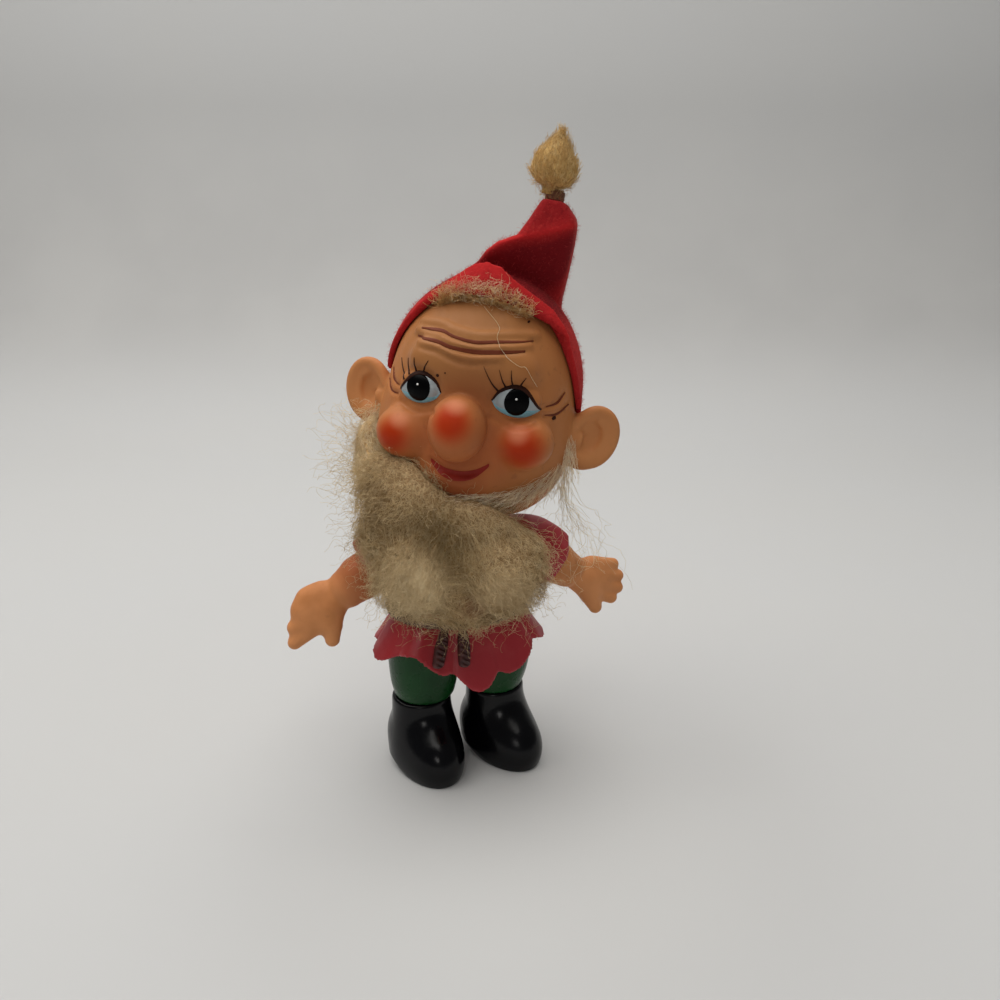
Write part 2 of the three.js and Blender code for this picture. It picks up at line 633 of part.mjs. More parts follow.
// Beard: one thick pad of wool with a lumpy outside, grown by a clearance
function beardPad(grow) {
  const wide = BEARD_WIDTH / 2 + grow;
  const long = BEARD_LENGTH / 2 + grow;
  const pad = shaped(ellipsoid(1, 1, 1, 28, 18), (point) => {
    const ripple = Math.sin(5 * point.x + 1) * Math.cos(4 * point.z) + Math.sin(7 * point.z + 4 * point.x);
    const lump = 1 + 0.05 * ripple;
    const corner = Math.min(Math.max(Math.hypot(point.x, point.z), 0.35) ** -0.35, 1.25);
    point.x *= wide * lump * corner * (1 - 0.12 * point.z);
    point.y *= (BEARD_DEPTH / 2 + grow) * lump;
    point.z *= long * lump;
  });
  return pad.translate(BEARD_SHIFT, -HEAD_DEPTH * 0.47, -JAW_DROP * 0.72 - BEARD_LENGTH / 2);
}
const beardClear = beardPad(FIT);
piece(head, "beard", cut(beardPad(0), headClear, coatSwing), WOOL);

// Locks beside the beard: a full one below the left ear, a thin one along the right jaw
const lockTop = -EAR_DROP - EAR_HEIGHT * 0.45;
const lockLeft = limb([
  [-JAW_WIDTH * 0.5, -HEAD_DEPTH * 0.04, lockTop],
  [-JAW_WIDTH * 0.54, -HEAD_DEPTH * 0.08, -JAW_DROP * 0.62],
  [-JAW_WIDTH * 0.55, -HEAD_DEPTH * 0.14, -JAW_DROP * 0.85],
  [-JAW_WIDTH * 0.48, -HEAD_DEPTH * 0.235, -JAW_DROP * 1.06],
  [-JAW_WIDTH * 0.4, -HEAD_DEPTH * 0.315, -JAW_DROP * 1.16],
], [0.25, 0.73, 1, 0.83, 0.33].map((share) => share * LOCK_RADIUS_LEFT), 14);
piece(head, "sideburn_left", cut(lockLeft, headClear, coatSwing, beardClear), WOOL);
const lockRight = limb([
  [JAW_WIDTH * 0.51, -HEAD_DEPTH * 0.08, lockTop],
  [JAW_WIDTH * 0.47, -HEAD_DEPTH * 0.195, -JAW_DROP * 0.62],
  [JAW_WIDTH * 0.38, -HEAD_DEPTH * 0.295, -JAW_DROP * 0.76],
  [JAW_WIDTH * 0.24, -HEAD_DEPTH * 0.37, -JAW_DROP * 0.86],
], [0.47, 0.93, 1, 0.73].map((share) => share * LOCK_RADIUS_RIGHT), 12);
piece(head, "sideburn_right", cut(lockRight, headClear, coatSwing, beardClear), WOOL);

// The part's frame: on the floor, in the middle of its own outline
const part = new THREE.Group();
part.add(figure);
part.updateMatrixWorld(true);
const outline = new THREE.Box3().setFromObject(figure, true);
const middle = outline.getCenter(new THREE.Vector3());
figure.position.set(-middle.x, -middle.y, -outline.min.z);

export default part;
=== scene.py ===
# %% [markdown]
# # A vinyl Christmas gnome
# The figure is a small ornament for a shelf: a vinyl body, a vinyl head that nods on a coil spring, a
# felt cap and a beard of loose wool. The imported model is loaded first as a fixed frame, so every piece
# made here sits where the construction says and moves with the right body. The figure faces -Y, and
# left and right are meant as someone in front of it sees them.

# %% Loading the frame
import json
import math

import bpy
import numpy as np
from mathutils import Matrix, Vector
from mathutils.bvhtree import BVHTree


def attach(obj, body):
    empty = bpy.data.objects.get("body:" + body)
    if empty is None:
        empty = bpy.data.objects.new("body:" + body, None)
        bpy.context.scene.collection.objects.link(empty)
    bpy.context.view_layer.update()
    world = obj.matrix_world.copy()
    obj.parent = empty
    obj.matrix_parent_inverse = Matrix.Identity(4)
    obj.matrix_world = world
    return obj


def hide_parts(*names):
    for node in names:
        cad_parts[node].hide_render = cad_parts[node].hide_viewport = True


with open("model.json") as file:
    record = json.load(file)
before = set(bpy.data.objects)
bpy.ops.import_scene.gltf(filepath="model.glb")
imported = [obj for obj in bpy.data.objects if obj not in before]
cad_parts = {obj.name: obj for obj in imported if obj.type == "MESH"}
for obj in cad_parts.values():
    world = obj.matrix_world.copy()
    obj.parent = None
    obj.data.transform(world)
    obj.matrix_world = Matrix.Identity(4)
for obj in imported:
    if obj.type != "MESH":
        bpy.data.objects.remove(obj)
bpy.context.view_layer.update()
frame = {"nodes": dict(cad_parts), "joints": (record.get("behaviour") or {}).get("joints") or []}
MM = 0.001
joints = {joint["name"]: joint for joint in frame["joints"]}

# %% [markdown]
# ## Camera
# The photograph looks down at the figure from close by, a little from the left. The camera's place and
# lens were fitted to it, so that the small feet and the large head show in the same proportion.

# %% Camera
CAMERA_PLACE = Vector((-0.0494, -0.1941, 0.145))
CAMERA_DOWN = 18.0
CAMERA_YAW = 17.05
LENS = 28.8
NEAREST_SHOWN = 0.01

camera_data = bpy.data.cameras.new("camera")
camera_data.lens = LENS
camera_data.clip_start = NEAREST_SHOWN
camera = bpy.data.objects.new("camera", camera_data)
camera.location = CAMERA_PLACE
camera.rotation_euler = (math.radians(90 - CAMERA_DOWN), 0, -math.radians(CAMERA_YAW))
bpy.context.scene.collection.objects.link(camera)
bpy.context.scene.camera = camera
bpy.context.scene.view_settings.view_transform = "Standard"
print("camera at", tuple(round(x, 3) for x in CAMERA_PLACE))

# %% [markdown]
# ## Finishes
# Paint, felt and wool are all uneven: one colour shows through another in patches. A finish is therefore
# a ground colour with coats over it, and each coat has a mask that says where it lies. The masks are
# noise, thin winding lines, round spots, or a share that is stored on the points of the piece.

# %% Colours as they are seen
def rgb(*levels):
    """Screen levels from 0 to 255 as the linear colour that a shader takes."""
    shares = [level / 255 for level in levels]
    linear = [s / 12.92 if s <= 0.04045 else ((s + 0.055) / 1.055) ** 2.4 for s in shares]
    return (*linear, 1.0)


print("a screen's mid grey for the shader:", round(rgb(128, 128, 128)[0], 3))

# %% Working on a node tree
class NodeWork:
    """Adds nodes to a tree, and sets or links their sockets by name."""

    def __init__(self, tree):
        self.nodes = tree.nodes
        self.links = tree.links

    def put(self, value, socket):
        """Links another node's output to a socket, or sets a plain value on it."""
        if isinstance(value, bpy.types.NodeSocket):
            self.links.new(value, socket)
        else:
            socket.default_value = value

    def add(self, kind, settings=None, **inputs):
        """A node of that kind, with its settings made and its inputs put in by name."""
        made = self.nodes.new(kind)
        for name, value in (settings or {}).items():
            setattr(made, name, value)
        for name, value in inputs.items():
            wanted = name.replace("_", " ")
            self.put(value, next(s for s in made.inputs if s.name == wanted and s.enabled))
        return made

    def math(self, operation, *values):
        """The result of a sum on numbers or on the outputs of other nodes."""
        made = self.add("ShaderNodeMath", {"operation": operation})
        for value, socket in zip(values, made.inputs):
            self.put(value, socket)
        return made.outputs["Value"]


def listed(kind):
    """The names of a helper's own methods."""
    return [name for name in vars(kind) if not name.startswith("_")]


print("node work:", listed(NodeWork))

# %% Coats of paint
class Paint(NodeWork):
    """A material whose colour is laid on in coats, one over the other."""

    def __init__(self, name, colour, roughness, **sockets):
        self.material = bpy.data.materials.new(name)
        self.material.use_nodes = True
        super().__init__(self.material.node_tree)
        self.shader = self.nodes["Principled BSDF"]
        self.place = self.add("ShaderNodeTexCoord").outputs["Object"]
        self.under = rgb(*colour)
        self.shader.inputs["Base Color"].default_value = self.under
        self.shader.inputs["Roughness"].default_value = roughness
        for socket, value in sockets.items():
            self.shader.inputs[socket.replace("_", " ")].default_value = value

    def coat(self, mask, colour, share=1.0):
        """Lays another colour on wherever the mask is above 0."""
        mix = self.add("ShaderNodeMix", {"data_type": "RGBA"}, Factor=self.math("MULTIPLY", mask, share),
                       A=self.under, B=rgb(*colour))
        self.under = mix.outputs["Result"]
        self.put(self.under, self.shader.inputs["Base Color"])

    def bump(self, scale, height, detail=4.0):
        """Fine grain about 1 / scale metres wide and height metres high."""
        noise = self.add("ShaderNodeTexNoise", Vector=self.place, Scale=scale, Detail=detail)
        grain = self.add("ShaderNodeBump", Height=noise.outputs["Fac"], Distance=height, Strength=1.0)
        normal = self.shader.inputs["Normal"]
        if normal.is_linked:
            self.put(normal.links[0].from_socket, grain.inputs["Normal"])
        self.put(grain.outputs["Normal"], normal)

    def rough(self, mask, low, high):
        """Roughness from low to high as the mask goes from 0 to 1."""
        node = self.add("ShaderNodeMapRange", Value=mask, To_Min=low, To_Max=high)
        self.put(node.outputs["Result"], self.shader.inputs["Roughness"])


print("paint work:", listed(Paint))

# %% Masks for the coats
class Finish(Paint):
    """Paint with the masks that say where a coat lies."""

    def step(self, value, low, high):
        """0 below low and 1 above high, or the other way round, with a soft edge."""
        node = self.add("ShaderNodeMapRange", {"interpolation_type": "SMOOTHSTEP"}, Value=value,
                        From_Min=low, From_Max=high)
        return node.outputs["Result"]

    def noise(self, scale, low, high, detail=4.0):
        """Cloudy patches about 1 / scale metres wide."""
        node = self.add("ShaderNodeTexNoise", Vector=self.place, Scale=scale, Detail=detail)
        return self.step(node.outputs["Fac"], low, high)

    def hairs(self, scale, width, seed, stretch):
        """Thin winding lines, as of tangled hair: where a cloud's level is within width of a half."""
        along = self.add("ShaderNodeMapping", Vector=self.place, Scale=stretch)
        node = self.add("ShaderNodeTexNoise", {"noise_dimensions": "4D"}, Vector=along.outputs["Vector"],
                        W=seed, Scale=scale, Detail=1.5)
        return self.math("COMPARE", node.outputs["Fac"], 0.5, width)

    def marked(self, attribute):
        """A mask stored on the points of the mesh."""
        return self.add("ShaderNodeAttribute", {"attribute_name": attribute}).outputs["Fac"]

    def near(self, centre, inner, outer):
        """1 within inner metres of a point, fading to 0 at outer metres."""
        node = self.add("ShaderNodeVectorMath", {"operation": "DISTANCE"}, Vector=self.place)
        node.inputs[1].default_value = centre
        return self.step(node.outputs["Value"], outer, inner)


def tint(finish, base, spot, inner, outer, colour, share):
    """Lays a soft round spot of colour at a place of a frame, all in millimetres; it serves for sprayed
    tints and for painted light and shade.
    """
    place = (base @ Vector(spot)) * MM
    finish.coat(finish.near(place, inner * MM, outer * MM), colour, share)


print("masks:", listed(Finish))

# %% Plain meshes
def piece(name, points, faces, finish):
    """A mesh object from points in millimetres, at the origin, with its place in its mesh."""
    mesh = bpy.data.meshes.new(name)
    faces = faces.tolist() if isinstance(faces, np.ndarray) else faces
    mesh.from_pydata((np.asarray(points, float) * MM).tolist(), [], faces)
    mesh.materials.append(finish.material)
    mesh.shade_smooth()
    made = bpy.data.objects.new(name, mesh)
    bpy.context.scene.collection.objects.link(made)
    print(name, len(mesh.polygons), "faces")
    return made


def stand_for(made, body, slot, *nodes):
    """Lets a piece ride on its body and hide the solids it stands for. Its slot is not used."""
    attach(made, body)
    if nodes:
        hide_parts(*nodes)
    return made


# %% [markdown]
# ## Floor and light
# A pale sweep of paper under and behind the figure gives the plain studio ground. One large soft lamp
# above and an even world keep the shadows faint, at a level where a colour renders about as it is
# written. A small lamp in front adds the glints on the glossy paint. The paper also carries painted
# shade where it bends up and painted light round the feet, which softens their shadow.

# %% Shape of the paper sweep
SWEEP_WIDTH = 2400
SWEEP_FRONT = -900
SWEEP_BACK = 330
SWEEP_ROUND = 260
SWEEP_TOP = 1100
SWEEP_STEPS = 24

sweep_line = [(SWEEP_FRONT, 0.0), (SWEEP_BACK, 0.0)]
for step in range(1, SWEEP_STEPS + 1):
    turn = step / SWEEP_STEPS * math.pi / 2
    sweep_line.append((SWEEP_BACK + SWEEP_ROUND * math.sin(turn), SWEEP_ROUND * (1 - math.cos(turn))))
sweep_line.append((SWEEP_BACK + SWEEP_ROUND, SWEEP_TOP))
sweep_turn = Matrix.Rotation(-math.radians(CAMERA_YAW), 4, "Z")
sweep_sides = (-SWEEP_WIDTH / 2, SWEEP_WIDTH / 2)
sweep_points = [sweep_turn @ Vector((x, y, z)) for y, z in sweep_line for x in sweep_sides]
sweep_faces = [(2 * i, 2 * i + 1, 2 * i + 3, 2 * i + 2) for i in range(len(sweep_line) - 1)]
print("sweep bends up", SWEEP_BACK, "mm behind the figure")

# %% Paper
PAPER = (196, 197, 197)
PAPER_CLOUD = (196, 196, 194)
PAPER_BEND_SHADE = (180, 180, 179)
PAPER_PAINTED_LIGHT = (212, 213, 212)
BEND_STARTS = (0.0, 0.09)
BEND_ENDS = (0.34, 0.12)
PAINTED_LIGHT_PLACE = (0.01, -0.03, 0)
PAINTED_LIGHT_REACH = (0.015, 0.075)

paper = Finish("pale_paper", PAPER, 0.9)
paper_height = paper.add("ShaderNodeSeparateXYZ", Vector=paper.place).outputs["Z"]
past_start = paper.step(paper_height, *BEND_STARTS)
before_end = paper.step(paper_height, *BEND_ENDS)
# Painted shade: the paper is darker where the sweep bends up behind the figure.
paper.coat(paper.math("MULTIPLY", past_start, before_end), PAPER_BEND_SHADE)
paper.coat(paper.noise(9.0, 0.3, 0.7), PAPER_CLOUD, 0.3)
# Painted light: the paper is lighter round the feet, where the figure's shadow falls.
paper.coat(paper.near(PAINTED_LIGHT_PLACE, *PAINTED_LIGHT_REACH), PAPER_PAINTED_LIGHT, 0.8)
piece("paper_sweep", sweep_points, sweep_faces, paper)

# %% Lamps
LAMPS = {
    "lamp_above": {"place": (-0.13, 0.1, 0.88), "size": 1.2, "power": 12.0},
    "lamp_front": {"place": (-0.35, -0.9, 0.42), "size": 0.22, "power": 0.6},
}
LAMP_COLOUR = (255, 252, 248)
LAMP_AIM = Vector((0, 0, 0.09))
WORLD_STRENGTH = 0.13


def soft_lamp(name, place, size, power):
    """A square soft lamp that points at the middle of the figure."""
    lamp = bpy.data.lights.new(name, "AREA")
    lamp.size = size
    lamp.energy = power
    lamp.color = rgb(*LAMP_COLOUR)[:3]
    made = bpy.data.objects.new(name, lamp)
    made.location = place
    made.rotation_euler = (LAMP_AIM - made.location).to_track_quat("-Z", "Y").to_euler()
    bpy.context.scene.collection.objects.link(made)


for name, lamp in LAMPS.items():
    soft_lamp(name, **lamp)
world = bpy.data.worlds.new("even_light")
world.use_nodes = True
world.node_tree.nodes["Background"].inputs["Color"].default_value = (1, 1, 1, 1)
world.node_tree.nodes["Background"].inputs["Strength"].default_value = WORLD_STRENGTH
bpy.context.scene.world = world

# %% [markdown]
# ## Modelling in clay
# Moulded vinyl has no sharp inner corners: a nose flows into a cheek, a finger into a palm. Joining
# spheres and rods with booleans would leave hard seams, so the moulded pieces are built as a sculptor
# does, by adding lumps and pressing hollows. Each point of a fine grid holds its distance to the
# surface, lumps are joined by a soft minimum, and a net is then laid where the distance is nought.

# %% Soft joins
def soft_least(first, second, blend):
    """The smaller of two distances, rounded where they are within blend of each other."""
    if blend <= 0:
        return np.minimum(first, second)
    near = np.maximum(blend - np.abs(first - second), 0) / blend
    return np.minimum(first, second) - near * near * blend / 4


print("two surfaces that meet, blended over 4 mm, swell by", -soft_least(0.0, 0.0, 4.0), "mm")

# %% Lumps
def ball(centre, radii, turn=None):
    """An egg with three radii, turned by a 3 x 3 matrix."""
    centre = np.array(centre, float)
    radii = np.array(radii, float) * np.ones(3)
    axes = np.eye(3) if turn is None else np.array(turn.to_3x3())

    def distance(x, y, z):
        q = [axes[0, i] * (x - centre[0]) + axes[1, i] * (y - centre[1]) + axes[2, i] * (z - centre[2])
             for i in range(3)]
        out = np.sqrt(sum((q[i] / radii[i]) ** 2 for i in range(3)))
        slope = np.sqrt(sum((q[i] / radii[i] ** 2) ** 2 for i in range(3)))
        return out * (out - 1) / np.maximum(slope, 1e-6)

    return centre - radii.max(), centre + radii.max(), distance


print("box of an egg:", *ball((0, 0, 0), (1, 2, 3))[:2])

# %% Rods and smooth lines
def rod(path, radii):
    """A round rod through a list of points, with its radius eased from point to point."""
    path = np.array(path, float)
    radii = np.array(radii, float) * np.ones(len(path))

    def distance(x, y, z):
        best = None
        for a, b, ra, rb in zip(path[:-1], path[1:], radii[:-1], radii[1:]):
            run = b - a
            along = (x - a[0]) * run[0] + (y - a[1]) * run[1] + (z - a[2]) * run[2]
            t = np.clip(along / max(run @ run, 1e-9), 0, 1)
            off = (x - a[0] - t * run[0]) ** 2 + (y - a[1] - t * run[1]) ** 2 + (z - a[2] - t * run[2]) ** 2
            here = np.sqrt(off) - (ra + t * (rb - ra))
            best = here if best is None else np.minimum(best, here)
        return best

    return path.min(0) - radii.max(), path.max(0) + radii.max(), distance


def smooth_line(points, count):
    """A smooth line of count points through a few points."""
    points = np.array(points, float)
    ends = np.vstack([2 * points[0] - points[1], points, 2 * points[-1] - points[-2]])
    at = np.linspace(0, len(points) - 1, count)
    i = np.minimum(at.astype(int), len(points) - 2)
    t = (at - i)[:, None]
    a, b, c, d = (ends[i + k] for k in range(4))
    return 0.5 * (2 * b + (c - a) * t + (2 * a - 5 * b + 4 * c - d) * t**2 + (3 * b - a - 3 * c + d) * t**3)


def spread(values, count):
    """A few values along a line, read at count places spread evenly over it."""
    return np.interp(np.linspace(0, 1, count), np.linspace(0, 1, len(values)), values)


print("five points on a bow:", smooth_line([(0, 0), (1, 1), (2, 0)], 5).round(2).tolist())

# %% The block of clay
FAR = 1e3
FLATTEST_SLOPE = 0.05


class Clay:
    """Distances to a surface on a grid, in millimetres."""

    def __init__(self, low, high, cell):
        self.low = np.array(low, float)
        self.cell = cell
        counts = np.ceil((np.array(high, float) - self.low) / cell).astype(int) + 1
        self.axes = [self.low[i] + cell * np.arange(counts[i]) for i in range(3)]
        self.field = np.full(counts, FAR)

    def work(self, shape, blend, press):
        """Adds a shape or presses it in, only where its box reaches."""
        low, high, distance = shape
        margin = blend + 3 * self.cell
        spans = []
        for axis, a, b in zip(self.axes, low, high):
            spans.append(slice(*np.searchsorted(axis, (a - margin, b + margin))))
        sides = (axis[span] for axis, span in zip(self.axes, spans))
        grid = np.meshgrid(*sides, indexing="ij", sparse=True)
        block = self.field[tuple(spans)]
        if block.size == 0:
            return
        there = distance(*grid)
        if press:
            block[...] = -soft_least(-block, there, blend)
        else:
            block[...] = soft_least(block, there, blend)

    def add(self, shape, blend=0.0):
        """Joins a lump on."""
        self.work(shape, blend, False)

    def cut(self, shape, blend=0.0):
        """Presses a hollow in."""
        self.work(shape, blend, True)

    def everywhere(self, level):
        """A shape given by a level function over the whole block, evened out to a distance."""
        def distance(x, y, z):
            value = level(x, y, z) + 0 * (x + y + z)
            slope = np.sqrt(sum(part**2 for part in np.gradient(value, self.cell)))
            return value / np.maximum(slope, FLATTEST_SLOPE)

        return self.low, np.array([axis[-1] for axis in self.axes]), distance

    def at(self, points):
        """The distance at any points, read between the grid's own."""
        place = (points - self.low) / self.cell
        base = np.clip(place.astype(int), 0, np.array(self.field.shape) - 2)
        part = place - base
        total = 0
        for corner in np.ndindex(2, 2, 2):
            share = np.prod(np.where(corner, part, 1 - part), axis=1)
            total = total + share * self.field[tuple((base + corner).T)]
        return total


print("clay work:", listed(Clay))

# %% Laying the net
SETTLING_ROUNDS = 3
SETTLING_STEP = 0.3
SETTLING_MOST = 0.3
LEAST_SLOPE = 0.1


def settled(clay, points):
    """Points slid along the slope of the distance until they lie on the surface."""
    reach = SETTLING_STEP * clay.cell
    for _ in range(SETTLING_ROUNDS):
        here = clay.at(points)
        slope = np.stack([(clay.at(points + step) - here) / reach for step in np.eye(3) * reach], 1)
        size = np.maximum((slope**2).sum(1), LEAST_SLOPE)
        points = points - np.clip(here / size, -SETTLING_MOST, SETTLING_MOST)[:, None] * slope
    return points


def corners_inside(inside):
    """How many of the eight corners of every cell are inside."""
    wide, deep, tall = (count - 1 for count in inside.shape)
    shifted = (inside[i:wide + i, j:deep + j, k:tall + k] for i, j, k in np.ndindex(2, 2, 2))
    return sum(part.astype(np.int8) for part in shifted)


def net(clay):
    """Points and four-sided faces of the net where the clay's distance is nought."""
    inside = clay.field < 0
    count = corners_inside(inside)
    mixed = (count > 0) & (count < 8)
    cells = np.argwhere(mixed)
    number = np.full(mixed.shape, -1, np.int32)
    number[mixed] = np.arange(len(cells))
    total = np.zeros((len(cells), 3))
    hits = np.zeros(len(cells))
    faces = []
    for axis in range(3):
        ahead = np.eye(3, dtype=int)[axis]
        u, v = np.roll(np.eye(3, dtype=int), -axis - 1, axis=0)[:2]
        # A cell's point is the mean of the places where the surface crosses its edges.
        for side in (0 * u, u, v, u + v):
            first = clay.field[tuple((cells + side).T)]
            second = clay.field[tuple((cells + side + ahead).T)]
            crossed = (first < 0) != (second < 0)
            t = np.where(crossed, first / np.where(crossed, first - second, 1), 0)
            total += crossed[:, None] * (side + t[:, None] * ahead)
            hits += crossed
        # The four cells round a crossed edge make a face.
        change = np.diff(inside.astype(np.int8), axis=axis)
        spots = np.argwhere(change)
        spots = spots[(spots @ u > 0) & (spots @ v > 0)]
        last_u, last_v = mixed.shape[(axis + 1) % 3], mixed.shape[(axis + 2) % 3]
        spots = spots[(spots @ u < last_u) & (spots @ v < last_v)]
        quad = np.stack([number[tuple((spots - s).T)] for s in (0 * u, u, u + v, v)], 1)
        inward = change[tuple(spots.T)] > 0
        quad[inward] = quad[inward][:, ::-1]
        faces.append(quad)
    points = clay.low + clay.cell * (cells + total / hits[:, None])
    return settled(clay, points), np.concatenate(faces)


trial = Clay((-3, -3, -3), (3, 3, 3), 0.5)
trial.add(ball((0, 0, 0), 2.0))
trial_points, trial_faces = net(trial)
trial_radius = np.linalg.norm(trial_points, axis=1).mean()
print("a trial ball has", len(trial_faces), "faces and a radius of", trial_radius.round(3), "mm")

# %% Carrying points
def placed(matrix, points):
    """Points carried by a 4 x 4 matrix."""
    carry = np.array(matrix)
    return np.asarray(points) @ carry[:3, :3].T + carry[:3, 3]


print("a point carried up:", placed(Matrix.Translation((0, 0, 5)), [(1, 2, 3)]).tolist())

# %% [markdown]
# ## Frames of the figure and of the head
# The body stands upright under the neck joint. The head turns to the left on the neck and leans over to
# the right on the bent spring, so its features are easier to place in a frame of its own. The face is
# painted a little out of true with the ears, as these hand-finished toys often are.

# %% Frames
HEAD_TURN = -26.0
HEAD_TILT = 10.5
HEAD_SHIFT = 2.0
HEAD_REACH = 31.9
FACE_ROLL = -3.5

neck_pivot = Vector(joints["neck_turn"]["pos_m"]) / MM
figure_frame = Matrix.Translation((neck_pivot.x, neck_pivot.y, 0))
head_frame = (
    Matrix.Translation(neck_pivot)
    @ Matrix.Rotation(math.radians(HEAD_TURN), 4, "Z")
    @ Matrix.Translation((HEAD_SHIFT, 0, 0))
    @ Matrix.Rotation(math.radians(HEAD_TILT), 4, "Y")
    @ Matrix.Translation((0, 0, HEAD_REACH))
)
face_in_head = Matrix.Rotation(math.radians(FACE_ROLL), 4, "Y")
face_frame = head_frame @ face_in_head
print("middle of the head, mm:", tuple(round(x, 1) for x in head_frame.translation))

# %% [markdown]
# ## The head
# A hollow vinyl moulding: a pear-shaped skull, a round nose, two apple cheeks, a smile pressed in
# under the nose, three furrows on the brow and cupped ears. Skin paint is sprayed on, with an
# airbrushed blush on the nose and the cheeks. The lumps could be sculpted by hand, but placing them by
# size and letting them flow together keeps the face easy to adjust.

# %% Skull
CRANIUM_WIDTH = 47.0
JAW_WIDTH = 52.0
HEAD_DEPTH = 51.0
CROWN_RISE = 27.5
JAW_DROP = 32.0
JAW_SQUARENESS = 3.0
JAW_STARTS = 0.15
JAW_EASE = 0.6
HEAD_CELL = 0.47


def skull_level(grow):
    """A pear with a square jaw: below nought inside it, above nought outside."""
    def level(x, y, z):
        drop = -z / JAW_DROP
        wide = np.clip((drop + JAW_STARTS) / JAW_EASE, 0, 1)
        wide = wide * wide * (3 - 2 * wide)
        half = (CRANIUM_WIDTH + (JAW_WIDTH - CRANIUM_WIDTH) * wide) / 2 + grow
        ring = np.hypot(x / half, y / (HEAD_DEPTH / 2 + grow))
        tall = np.where(z > 0, z / (CROWN_RISE + grow), -z / (JAW_DROP + grow))
        power = np.where(z > 0, 2.0, JAW_SQUARENESS)
        return (ring**power + tall**power) ** (1 / power) - 1

    return level


head_clay = Clay((-39, -37, -34), (39, 28, 30), HEAD_CELL)
head_clay.add(head_clay.everywhere(skull_level(0.0)))
print("skull laid in a block of", head_clay.field.shape, "cells")

# %% Brow, muzzle, cheeks and nose
BROW = {"place": (0, -19.5, 9.0), "radii": (14.0, 4.6, 5.5), "blend": 4.0}
MUZZLE = {"place": (0, -19.8, -16.5), "radii": (9.5, 6.0, 7.5), "blend": 3.0}
LEFT_CHEEK = {"place": (-14.3, -19.0, -9.4), "radii": (7.4, 6.8, 6.6), "blend": 1.5}
RIGHT_CHEEK = {"place": (13.8, -19.0, -7.6), "radii": (7.4, 6.8, 6.6), "blend": 1.5}
NOSE = {"place": (-0.7, -27.2, -4.8), "radii": (6.7, 7.0, 7.7), "blend": 0.7}

for lump in (BROW, MUZZLE, LEFT_CHEEK, RIGHT_CHEEK, NOSE):
    head_clay.add(ball(face_in_head @ Vector(lump["place"]), lump["radii"], face_in_head), lump["blend"])
print("nose reaches", round(NOSE["radii"][1] - NOSE["place"][1], 1), "mm in front of the head's middle")

# %% Finding the skin from in front
IN_FRONT_OF_NOSE = -37
DEPTH_STEP = 0.2


def in_front(points, lift=0.0):
    """Points (across, up) of the face dropped from the front onto the clay, in the head's frame."""
    points = np.asarray(points, float)
    depths = np.arange(IN_FRONT_OF_NOSE, 0, DEPTH_STEP)
    lines = np.stack([np.repeat(points[:, :1], len(depths), 1),
                      np.repeat(depths[None], len(points), 0),
                      np.repeat(points[:, 1:2], len(depths), 1)], -1)
    inside = head_clay.at(placed(face_in_head, lines.reshape(-1, 3))).reshape(len(points), -1) < 0
    hit = depths[inside.argmax(1)] - lift
    return placed(face_in_head, np.stack([points[:, 0], hit, points[:, 1]], -1))


def across_face(line, side):
    """A line drawn on the right half of the face, or its mirror on the left."""
    return [(side * across, up) for across, up in line]


print("skin between the eyes, in the head's frame:", in_front([(0, 3)])[0].round(1))

# %% Eye sockets and eyeballs
EYE_ACROSS = 11.5
EYE_UP = 2.2
EYE_TURN = 0.45
EYE_SOCKET = (6.6, 2.8, 4.8)
SOCKET_OUT = 1.1
EYE_BALL = (5.6, 2.2, 3.8)
EYE_IN = 1.4
EYE_OUTWARD = 0.2
EYE_FOLD = [(6.2, -1.6), (11.5, -3.3), (16.6, -2.2)]
CROW_FEET = [
    [(17.8, 1.0), (20.0, 1.6), (21.4, 3.8)],
    [(17.8, -1.0), (20.4, -1.1), (22.6, 0.6)],
]


def press_line(line, count, lift, radius, blend):
    """Presses a groove into the face along a line of (across, up) points."""
    head_clay.cut(rod(in_front(smooth_line(line, count), lift), radius), blend)


for side in (-1, 1):
    middle = in_front([(side * EYE_ACROSS, EYE_UP)])[0]
    around = face_in_head @ Matrix.Rotation(side * EYE_TURN, 4, "Z")
    head_clay.cut(ball(middle + (0, -SOCKET_OUT, 0), EYE_SOCKET, around), 1.2)
    head_clay.add(ball(middle + (side * EYE_OUTWARD, EYE_IN, 0), EYE_BALL, around), 0.7)
    press_line(across_face(EYE_FOLD, side), count=14, lift=0.25, radius=0.55, blend=0.7)
    for line in CROW_FEET:
        press_line(across_face(line, side), count=10, lift=0.2, radius=0.5, blend=0.5)
print("eyes pressed in", 2 * EYE_ACROSS, "mm apart")

# %% Furrows and smile
FURROWS = [
    [(-13.6, 15.1), (-8.1, 15.6), (-4.5, 14.9), (0.5, 14.5), (5.5, 15.1), (12.8, 15.7)],
    [(-14.3, 13.2), (-8.6, 13.4), (-4.6, 12.7), (0.5, 12.5), (5.7, 13.0), (11.6, 13.6)],
    [(-12.4, 11.4), (-8.0, 11.3), (-3.8, 10.2), (0.1, 9.9), (6.3, 10.8)],
]
FURROW_POINTS = 30
FURROW_RADIUS = 0.72
BULGE_ABOVE = (0, 1.0)
BULGE_RADIUS = 1.1
BULGE_SUNK = 0.75
SMILE = [(-6.7, -14.0), (-3.4, -15.2), (0.4, -15.6), (4.2, -14.8), (7.1, -13.2)]
SMILE_RADIUS = 0.75
LOWER_LIP = [(-3.9, -16.9), (0.5, -17.8), (4.5, -16.8)]
LIP_RADII = [0.6] + [1.5] * 14 + [0.6]
LIP_SUNK = 0.8

